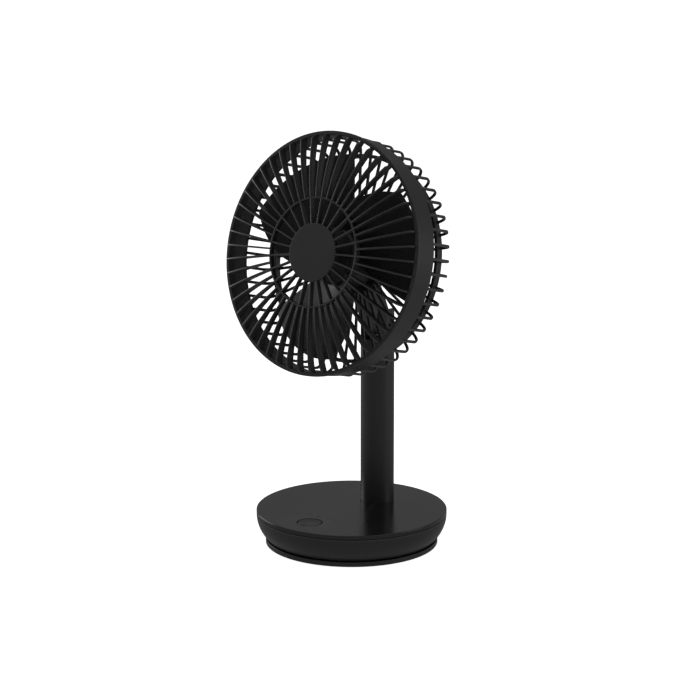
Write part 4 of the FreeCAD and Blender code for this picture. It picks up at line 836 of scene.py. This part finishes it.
@dataclass
class FrontGrille:
    """Domed front grille: bezel, two rows of ribs, a middle ring and a plain centre plate."""

    head: HeadFrame
    bezel: float = 94.5
    bezel_inner: float = 91.3
    bezel_depth: float = 2.6
    lap: float = 92.05
    lap_low: float = -6.0
    dome: float = 9.85
    ring_top: float = 9.55
    ring: float = 42.1
    ring_width: float = 1.7
    rib_width: float = 1.4
    rib_depth: float = 4.2
    mid_drop: float = 1.0
    curve_end: float = 89.3
    curve_height: float = 5.0
    shoulder: float = 6.0
    foot: float = 91.67
    foot_low: float = -3.2
    foot_high: float = -0.5
    outer_ribs: int = 50
    inner_ribs: int = 25
    plate: float = 22.6
    plate_thickness: float = 3.0
    root: float = 0.8
    sink: float = 0.1
    turn: float = 90.5
    lap_round: float = 0.2
    rim_rounds: tuple[float, float, float] = (0.35, 0.9, 0.5)
    ring_rounds: tuple[float, float] = (0.25, 0.6)
    plate_rounds: tuple[float, float] = (0.3, 0.55)
    rib_round: float = 0.45
    dome_steps: int = 7
    shoulder_steps: int = 4

    def build(self) -> None:
        """Join the rings and the ribs and dress them."""
        grille = Workpiece()
        self.add_rings(grille)
        grille.take(self.outer_rib().rotated(self.turn).around(self.outer_ribs).mesh)
        grille.take(self.inner_rib().rotated(self.turn).around(self.inner_ribs).mesh)
        dressed(grille.scene_object("front_guard", self.head.matrix()), "grille", Body.HEAD, "front_grille")

    def add_rings(self, grille: Workpiece) -> None:
        """Turn the bezel, the middle ring and the centre plate.

        Args:
            grille: the workpiece that takes them.
        """
        half = self.ring_width / 2
        ring_low = self.ring_top - self.rib_depth
        low = self.dome - self.plate_thickness
        under, outside, inside = self.rim_rounds
        ring_rear, ring_front = self.ring_rounds
        plate_rear, plate_front = self.plate_rounds
        grille.turned([
            (self.bezel_inner, self.lap_low, self.lap_round), (self.lap, self.lap_low, self.lap_round),
            (self.lap, -self.bezel_depth, 0.0), (self.bezel, -self.bezel_depth, under),
            (self.bezel, 0.0, outside), (self.bezel_inner, 0.0, inside)], steps=RIM_STEPS)
        grille.turned([
            (self.ring - half, ring_low, ring_rear), (self.ring + half, ring_low, ring_rear),
            (self.ring + half, self.ring_top, ring_front), (self.ring - half, self.ring_top, ring_front)],
            steps=RING_STEPS)
        grille.turned([
            (0.0, low, 0.0), (self.plate, low, plate_rear), (self.plate, self.dome, plate_front),
            (0.0, self.dome, 0.0)], steps=DISC_STEPS, closed=False)

    def outer_rib(self) -> Workpiece:
        """Return one rib, domed along its front and bent down into the bezel."""
        run = self.curve_end - self.ring
        fall = self.ring_top - self.curve_height
        bulge = fall / 2 - self.mid_drop + self.dome - self.ring_top
        radius = (run ** 2 + fall ** 2) / (8 * bulge) + bulge / 2
        knee = (self.curve_end, self.curve_height)
        low_end = (self.ring, self.ring_top - self.rib_depth)
        front = arc_between(knee, (self.ring, self.ring_top), radius, self.dome_steps)
        bend = arc_between((self.foot, self.foot_high), knee, self.shoulder, self.shoulder_steps)
        rear = arc_between((self.foot, self.foot_low), low_end, radius, self.dome_steps)
        return Workpiece().slab(bend[:-1] + front + rear[::-1], self.rib_width, self.rib_round)

    def inner_rib(self) -> Workpiece:
        """Return one straight rib from the centre plate to the middle ring."""
        start = self.plate - self.root
        high, low = self.dome - self.sink, self.ring_top - self.sink
        depth = self.rib_depth
        side = [(start, high - depth), (self.ring, low - depth), (self.ring, low), (start, high)]
        return Workpiece().slab(side, self.rib_width, self.rib_round)


@dataclass
class RearCage:
    """Rear cage: fifty bent bars from the motor plate round to a rim that laps inside the shroud."""

    head: HeadFrame
    back: float = 47.7
    bar_width: float = 2.2
    bar_depth: float = 1.8
    bar_round: float = 0.5
    bars: int = 50
    outer: float = 92.1
    corner: float = 8.5
    shroud_rear: float = 21.8
    rim_inner: float = 91.3
    rim_outer: float = 92.05
    rim_front: float = 18.4
    ring_inner: float = 78.4
    ring_outer: float = 81.2
    ring_depth: float = 6.4
    plate: float = 27.0
    plate_thickness: float = 3.0
    bore: float = 6.05
    turn: float = -0.5
    root: float = 0.8
    overlap: float = 0.4
    bend_steps: int = 8
    rim_round: float = 0.2
    back_round: float = 0.5
    ring_round: float = 0.4
    bore_round: float = 0.3

    def build(self) -> None:
        """Join the plate, the rings and the bars and dress them."""
        cage = Workpiece()
        plate_front = self.plate_thickness - self.back
        ring_front = self.ring_depth - self.back
        cage.turned([
            (self.rim_inner, -self.shroud_rear, self.rim_round),
            (self.rim_outer, -self.shroud_rear, self.rim_round),
            (self.rim_outer, -self.rim_front, self.rim_round),
            (self.rim_inner, -self.rim_front, self.rim_round)],
            steps=BOWL_STEPS)
        cage.turned([
            (self.ring_inner, -self.back, self.back_round), (self.ring_outer, -self.back, self.back_round),
            (self.ring_outer, ring_front, self.ring_round), (self.ring_inner, ring_front, self.ring_round)],
            steps=RING_STEPS)
        cage.turned([
            (self.bore, -self.back, 0.0), (self.plate, -self.back, self.back_round),
            (self.plate, plate_front, self.back_round), (self.bore, plate_front, self.bore_round)],
            steps=DISC_STEPS)
        bar = Workpiece().bar(self.bar_width, self.bar_depth, self.bar_round, self.bar_path())
        cage.take(bar.rotated(self.turn).around(self.bars).mesh)
        dressed(cage.scene_object("rear_cage", self.head.matrix()), "grille", Body.HEAD, "rear_grille")

    def bar_path(self) -> Section:
        """Return the stations of one bar, from the plate out and forward into the shroud."""
        half = self.bar_depth / 2
        level = half - self.back
        foot_x = self.outer - self.corner
        foot_z = self.corner - self.back
        arc = corner_arc(foot_x, foot_z, self.corner - half, 0.0, 90.0, self.bend_steps)
        start = [(self.plate - self.root, level, 0.0), (self.ring_inner, level, 0.0)]
        end = [(self.outer - half, self.overlap - self.shroud_rear, 90.0)]
        return start + arc + end


@dataclass
class TiltArm:
    """Motor cup behind the cage and the arm down to the tilt bolt."""

    head: HeadFrame
    cup: float = 26.0
    floor: float = -58.7
    back: float = -47.7
    wall: float = 2.0
    cup_round: float = 2.1
    width: float = 16.5
    drop: float = 47.3
    pivot: float = -84.6
    knuckle: float = 9.0
    knuckle_steps: int = 12
    bore: float = 2.05
    rim_round: float = 0.3
    inner_round: float = 0.2
    arm_round: float = 0.9
    root: float = 0.5

    def build(self) -> None:
        """Turn the cup, add the arm, bore it and round its edges."""
        cup = Workpiece().turned([
            (0.0, self.floor, 0.0), (self.cup, self.floor, self.cup_round),
            (self.cup, self.back, self.rim_round),
            (self.cup - self.wall, self.back, self.inner_round),
            (self.cup - self.wall, self.floor + self.wall, 0.0), (0.0, self.floor + self.wall, 0.0)],
            steps=TUBE_STEPS, closed=False)
        arm = cup.scene_object("tilt_arm_shell", self.head.matrix())
        blade = Workpiece().slab(self.side(), self.width, self.arm_round).rotated(90.0)
        blade = blade.scene_object("arm", self.head.matrix())
        pin = Workpiece().rod(self.bore, -self.width, self.width).rotated(90.0, "Y")
        pin.moved(0.0, -self.drop, self.pivot)
        joined(arm, [blade])
        carved(arm, [pin.scene_object("pin", self.head.matrix())])
        dressed(arm, "column", Body.HEAD, "tilt_arm")

    def side(self) -> list[tuple[float, float]]:
        """Return the arm's outline seen from its side: distance above the fan axis, and place along it."""
        run = self.floor - self.pivot
        fall = self.drop - self.cup / 2
        lean = math.atan2(run, fall)
        turns = [lean + math.pi * (0.5 + step / self.knuckle_steps) for step in range(self.knuckle_steps + 1)]
        round_end = [(-self.drop + self.knuckle * math.sin(turn), self.pivot + self.knuckle * math.cos(turn))
                     for turn in turns]
        top = [(self.root - self.cup, (self.floor + self.back) / 2), (-self.wall, self.floor + self.root)]
        return top + round_end


# ---------------------------------------------------------------- the column and the base


@dataclass
class Column:
    """Round tube with the forked top that holds the arm."""

    behind: float = 31.7
    radius: float = 13.25
    foot: float = 16.0
    joint: float = 150.0
    top: float = 184.0
    top_round: float = 2.1
    wall: float = 1.6
    plug_low: float = 130.0
    slot_half: float = 9.1
    slot_floor: float = 160.5
    hinge: float = 172.0
    recess: float = 3.7
    recess_depth: float = 1.9
    bolt: float = 2.05
    foot_round: float = 0.3
    joint_round: float = 0.18
    plug_gap: float = 0.1
    plug_bore: float = 4.0
    plug_round: float = 0.5
    bore_round: float = 0.4
    edge_round: float = 0.3
    over: float = 1.0
    fork_steps: int = 6

    def build(self) -> None:
        """Turn the tube and the fork, and cut the fork's slot and the bolt's seats."""
        place = Matrix.Translation((0.0, self.behind, 0.0))
        inner = self.radius - self.wall
        tube = Workpiece().turned([
            (inner, self.foot, 0.0), (self.radius, self.foot, self.foot_round),
            (self.radius, self.joint, self.joint_round), (inner, self.joint, 0.0)], steps=TUBE_STEPS)
        dressed(tube.scene_object("column", place), "column", Body.TURNTABLE, "column_tube")
        plug = inner - self.plug_gap
        fork = Workpiece().turned([
            (self.plug_bore, self.plug_low, 0.0), (plug, self.plug_low, self.plug_round),
            (plug, self.joint, 0.0),
            (self.radius, self.joint, self.joint_round), (self.radius, self.top, self.top_round),
            (self.plug_bore, self.top, self.bore_round)], steps=TUBE_STEPS, segments=self.fork_steps)
        head = fork.scene_object("fork", place)
        reach = self.radius + self.over
        slot = Workpiece().box((-self.slot_half, -reach, self.slot_floor),
                               (self.slot_half, reach, self.top + self.over))
        cutters = [slot.scene_object("slot", place)]
        for radius, low, high in ((self.bolt, -reach, reach),
                                  (self.recess, self.radius - self.recess_depth, reach),
                                  (self.recess, -reach, self.recess_depth - self.radius)):
            seat = Workpiece().rod(radius, low, high).rotated(90.0, "Y").moved(0.0, 0.0, self.hinge)
            cutters.append(seat.scene_object("seat", place))
        carved(head, cutters)
        eased(head, self.edge_round)
        dressed(head, "column", Body.TURNTABLE, "tilt_fork")


@dataclass
class BaseShell:
    """Foot, bowl and top plate."""

    radius: float = 75.0
    height: float = 27.7
    side_radius: float = 25.5
    bottom: float = 5.0
    floor: float = 7.0
    wall: float = 2.2
    seam: float = 24.2
    seam_gap: float = 0.5
    cover: float = 2.4
    hub: float = 9.05
    hub_outer: float = 13.05
    hub_top: float = 16.4
    rim_step: float = 1.5
    rim_drop: float = 2.2
    rim_gap: float = 0.3
    groove: float = 0.9
    rounds: tuple[float, float, float] = (0.15, 0.7, 0.2)
    hub_round: float = 0.3
    outer_steps: int = 18
    inner_steps: int = 12
    foot: float = 67.8
    foot_low: float = 0.4
    foot_top: float = 4.2
    foot_edge: float = 0.4
    foot_round: float = 0.3
    foot_dish: tuple[float, float] = (63.8, 2.8)
    pad: tuple[float, float, float] = (56.98, 65.0, 1.2)
    post: tuple[float, float, float] = (9.0, 16.5, 7.5)
    post_bore: float = 1.5
    inlet_half: float = 2.84
    inlet_end: float = 1.93
    inlet_height: float = 12.3
    inlet_reach: tuple[float, float] = (62.0, 80.0)
    inlet_sides: int = 32
    button: tuple[float, float] = (10.2, -50.8)
    column: tuple[float, float] = (13.35, 31.7)
    lamp: float = 1.05
    hole_sides: int = 64
    hole_over: float = 1.0
    edge: float = 0.18
    edge_angle: float = 60.0

    def build(self) -> None:
        """Make the three shells."""
        self.add_foot()
        self.add_bowl()
        self.add_cover()

    def add_foot(self) -> None:
        """Turn the foot with the groove for its rubber ring and its post."""
        pad_inner, pad_outer, pad_top = self.pad
        dish, dish_floor = self.foot_dish
        post, post_top, bore_end = self.post
        foot = Workpiece().turned([
            (0.0, self.foot_low, 0.0), (pad_inner, self.foot_low, 0.0), (pad_inner, pad_top, 0.0),
            (pad_outer, pad_top, 0.0), (pad_outer, self.foot_low, 0.0),
            (self.foot, self.foot_low, self.foot_edge),
            (self.foot, self.foot_top, self.foot_round), (dish, self.foot_top, self.foot_round),
            (dish, dish_floor, 0.0), (post, dish_floor, 0.0), (post, post_top, self.foot_round),
            (self.post_bore, post_top, 0.0), (self.post_bore, bore_end, 0.0), (0.0, bore_end, 0.0)],
            steps=BOWL_STEPS, closed=False)
        dressed(foot.scene_object("foot"), "housing", Body.STAND, "foot_plate")

    def add_bowl(self) -> None:
        """Turn the bowl and cut the charging slot."""
        centre = self.radius - self.side_radius
        inner = self.side_radius - self.wall
        outer = self.side_radius
        outside = [(centre + outer * math.sin(turn), self.seam - outer * math.cos(turn), 0.0)
                   for turn in self.turns(outer, self.seam - self.bottom, self.outer_steps)]
        inside = [(centre + inner * math.sin(turn), self.seam - inner * math.cos(turn), 0.0)
                  for turn in self.turns(inner, self.seam - self.floor, self.inner_steps)]
        profile = [(self.hub, self.bottom, 0.0)] + outside + inside[::-1]
        profile += [(self.hub_outer, self.floor, 0.0), (self.hub_outer, self.hub_top, self.hub_round),
                    (self.hub, self.hub_top, 0.0)]
        bowl = Workpiece().turned(profile, steps=BOWL_STEPS).scene_object("bowl")
        start, stop = self.inlet_reach
        slot = Workpiece().box((-self.inlet_half, start, self.inlet_height - self.inlet_end),
                               (self.inlet_half, stop, self.inlet_height + self.inlet_end))
        cutters = [slot.scene_object("slot")]
        half = (stop - start) / 2
        for side in (-1, 1):
            end = Workpiece().rod(self.inlet_end, -half, half, self.inlet_sides).rotated(90.0, "X")
            end.moved(side * self.inlet_half, start + half, self.inlet_height)
            cutters.append(end.scene_object("slot_end"))
        carved(bowl, cutters)
        dressed(bowl, "housing", Body.TURNTABLE, "base_bowl")

    @staticmethod
    def turns(radius: float, drop: float, steps: int) -> list[float]:
        """Return angles from straight down, from where an arc leaves a floor to where it is upright."""
        first = math.acos(drop / radius)
        return [first + (math.pi / 2 - first) * step / steps for step in range(steps + 1)]

    def add_cover(self) -> None:
        """Turn the top plate and cut the button's, the lamps' and the column's holes."""
        under = self.height - self.cover
        lip = self.radius - self.wall - self.rim_gap
        rim_low = self.seam - self.rim_drop
        seam_top = self.seam + self.seam_gap
        seam_round, top_round, lip_round = self.rounds
        plate = Workpiece().turned([
            (0.0, under, 0.0), (lip - self.rim_step, under, 0.0), (lip - self.rim_step, rim_low, 0.0),
            (lip, rim_low, lip_round), (lip, self.seam, 0.0), (self.radius - self.groove, self.seam, 0.0),
            (self.radius - self.groove, seam_top, 0.0), (self.radius, seam_top, seam_round),
            (self.radius, self.height, top_round), (0.0, self.height, 0.0)],
            steps=RIM_STEPS, closed=False).scene_object("cover")
        spots = [(*self.button, 0.0), (*self.column, 0.0)] + [(self.lamp, LAMP_ROW, x) for x in LAMPS]
        low, high = under - self.hole_over, self.height + self.hole_over
        cutters = [Workpiece().rod(radius, low, high, self.hole_sides).moved(x, y, 0.0).scene_object("hole")
                   for radius, y, x in spots]
        carved(plate, cutters)
        eased(plate, self.edge, segments=2, angle=self.edge_angle)
        dressed(plate, "top_plate", Body.TURNTABLE, "top_cover")


@dataclass
class Controls:
    """Power button and the row of lamps in the top plate."""

    height: float = 27.7
    button: float = 9.3
    button_y: float = -50.8
    flange: float = 11.2
    flange_low: float = 24.6
    flange_top: float = 25.25
    stem: float = 2.4
    stem_low: float = 22.9
    dish: float = 0.35
    dish_share: float = 0.94
    dish_steps: int = 6
    edge_round: float = 0.28
    stem_round: float = 0.2
    flange_round: float = 0.1
    button_steps: int = 96
    lamp: float = 1.0
    lamp_low: float = 19.4
    lamp_sunk: float = 0.05
    lamp_rounds: tuple[float, float] = (0.1, 0.3)
    lamp_steps: int = 32

    def build(self) -> None:
        """Turn the button and the light pipes."""
        steps = self.dish_steps
        reach = self.button * self.dish_share
        dished = [(reach * step / steps, self.height - self.dish * (1 - (step / steps) ** 2), 0.0)
                  for step in range(steps, -1, -1)]
        button = Workpiece().turned([
            (0.0, self.stem_low, 0.0), (self.stem, self.stem_low, self.stem_round),
            (self.stem, self.flange_low, 0.0), (self.flange, self.flange_low, self.flange_round),
            (self.flange, self.flange_top, self.flange_round), (self.button, self.flange_top, 0.0),
            (self.button, self.height, self.edge_round)] + dished, steps=self.button_steps, closed=False)
        button.moved(0.0, self.button_y, 0.0)
        dressed(button.scene_object("button"), "button", Body.BUTTON, "power_button")
        pipes = Workpiece()
        top = self.height - self.lamp_sunk
        low_round, top_round = self.lamp_rounds
        for x in LAMPS:
            pipe = Workpiece().turned([
                (0.0, self.lamp_low, 0.0), (self.lamp, self.lamp_low, low_round), (self.lamp, top, top_round),
                (0.0, top, 0.0)], steps=self.lamp_steps, closed=False)
            pipes.take(pipe.moved(x, LAMP_ROW, 0.0).mesh)
        dressed(pipes.scene_object("lamps"), "lamp", Body.TURNTABLE, "lamp_pipes")


# ---------------------------------------------------------------- studio


@dataclass(frozen=True)
class SoftBox:
    """One soft light: where it stands, how wide and high it is, and its power in watts."""

    name: str
    place: tuple[float, float, float]
    width: float
    height: float
    power: float


@dataclass
class Studio:
    """Camera, floor and soft lights."""

    azimuth: float = 39.94
    elevation: float = 14.451
    distance: float = 2.62277
    target: tuple[float, float, float] = (-0.00166, 0.0, 0.155676)
    lens: float = 173.06
    sensor: float = 36.0
    clip: tuple[float, float] = (0.1, 100.0)
    floor_radius: float = 30000.0
    floor_sides: int = 64
    floor_glow: float = 0.9
    room_glow: float = 0.22
    lit_height: float = 0.16
    soft_boxes: tuple[SoftBox, ...] = (
        SoftBox("overhead", (0.1, 0.0, 1.5), 1.2, 1.2, 4.0),
        SoftBox("left_side", (-1.5, -0.2, 0.4), 0.9, 0.7, 6.5),
        SoftBox("right_side", (1.45, 0.75, 0.4), 0.9, 0.7, 3.5))

    def build(self) -> None:
        """Set up the camera, the floor, the surroundings and the lights."""
        self.add_camera()
        self.add_floor()
        self.add_surroundings()
        for box in self.soft_boxes:
            self.add_light(box)

    def add_camera(self) -> None:
        """Aim the camera at the fan."""
        turn, lift = math.radians(self.azimuth), math.radians(self.elevation)
        back = Vector((math.sin(turn) * math.cos(lift), -math.cos(turn) * math.cos(lift), math.sin(lift)))
        camera = bpy.data.objects.new("camera", bpy.data.cameras.new("camera"))
        camera.data.lens = self.lens
        camera.data.sensor_width = self.sensor
        camera.data.clip_start, camera.data.clip_end = self.clip
        camera.location = Vector(self.target) + back * self.distance
        camera.rotation_euler = (-back).to_track_quat("-Z", "Y").to_euler()
        bpy.context.scene.collection.objects.link(camera)
        bpy.context.scene.camera = camera
        bpy.context.scene.view_settings.view_transform = "Standard"

    def add_floor(self) -> None:
        """Lay a plain pale floor."""
        sheet = Workpiece()
        bmesh.ops.create_circle(sheet.mesh, cap_ends=True, segments=self.floor_sides, radius=self.floor_radius)
        floor = sheet.scene_object("floor")
        board = NodeBoard("pale_floor")
        board.join(board.spread(board.noise(3.0, 2.0), 0.88, 0.92), board.shader.inputs["Roughness"])
        board.set(Base_Color=(0.9, 0.9, 0.9, 1.0), Emission_Color=(1.0, 1.0, 1.0, 1.0),
                  Emission_Strength=self.floor_glow)
        floor.data.materials.append(board.material)
        floor.visible_glossy = False

    def add_surroundings(self) -> None:
        """Give the room a soft even brightness, white where the camera looks into it."""
        world = bpy.data.worlds.new("room")
        world.use_nodes = True
        tree = world.node_tree
        room = tree.nodes["Background"]
        room.inputs["Color"].default_value = (1.0, 1.0, 1.0, 1.0)
        room.inputs["Strength"].default_value = self.room_glow
        wall = tree.nodes.new("ShaderNodeBackground")
        wall.inputs["Color"].default_value = (1.0, 1.0, 1.0, 1.0)
        wall.inputs["Strength"].default_value = 1.0
        path = tree.nodes.new("ShaderNodeLightPath")
        mix = tree.nodes.new("ShaderNodeMixShader")
        tree.links.new(path.outputs["Is Camera Ray"], mix.inputs["Fac"])
        tree.links.new(room.outputs["Background"], mix.inputs[1])
        tree.links.new(wall.outputs["Background"], mix.inputs[2])
        tree.links.new(mix.outputs["Shader"], tree.nodes["World Output"].inputs["Surface"])
        bpy.context.scene.world = world

    def add_light(self, box: SoftBox) -> None:
        """Stand a soft box aimed at the fan.

        Args:
            box: the light's place, size and power.
        """
        data = bpy.data.lights.new(box.name, "AREA")
        data.shape = "RECTANGLE"
        data.size = box.width
        data.size_y = box.height
        data.energy = box.power
        light = bpy.data.objects.new(box.name, data)
        light.location = box.place
        aim = Vector(box.place) - Vector((0, 0, self.lit_height))
        light.rotation_euler = aim.to_track_quat("Z", "Y").to_euler()
        light.visible_camera = False
        bpy.context.scene.collection.objects.link(light)


def dress_cad_nodes() -> None:
    """Give every CAD piece its finish."""
    for slot, names in CAD_SLOTS.items():
        for name in names:
            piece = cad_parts[name]
            piece.data.materials.clear()
            piece.data.materials.append(PAINT[slot])
    LOG.info("dressed %d CAD pieces", sum(map(len, CAD_SLOTS.values())))


def main() -> None:
    """Build the fan and the studio."""
    logging.basicConfig(level=logging.INFO, format="%(message)s")
    Studio().build()
    dress_cad_nodes()
    head = HeadFrame()
    Shroud(head).build()
    FrontGrille(head).build()
    RearCage(head).build()
    TiltArm(head).build()
    Column().build()
    BaseShell().build()
    Controls().build()


if __name__ == "__main__":
    main()
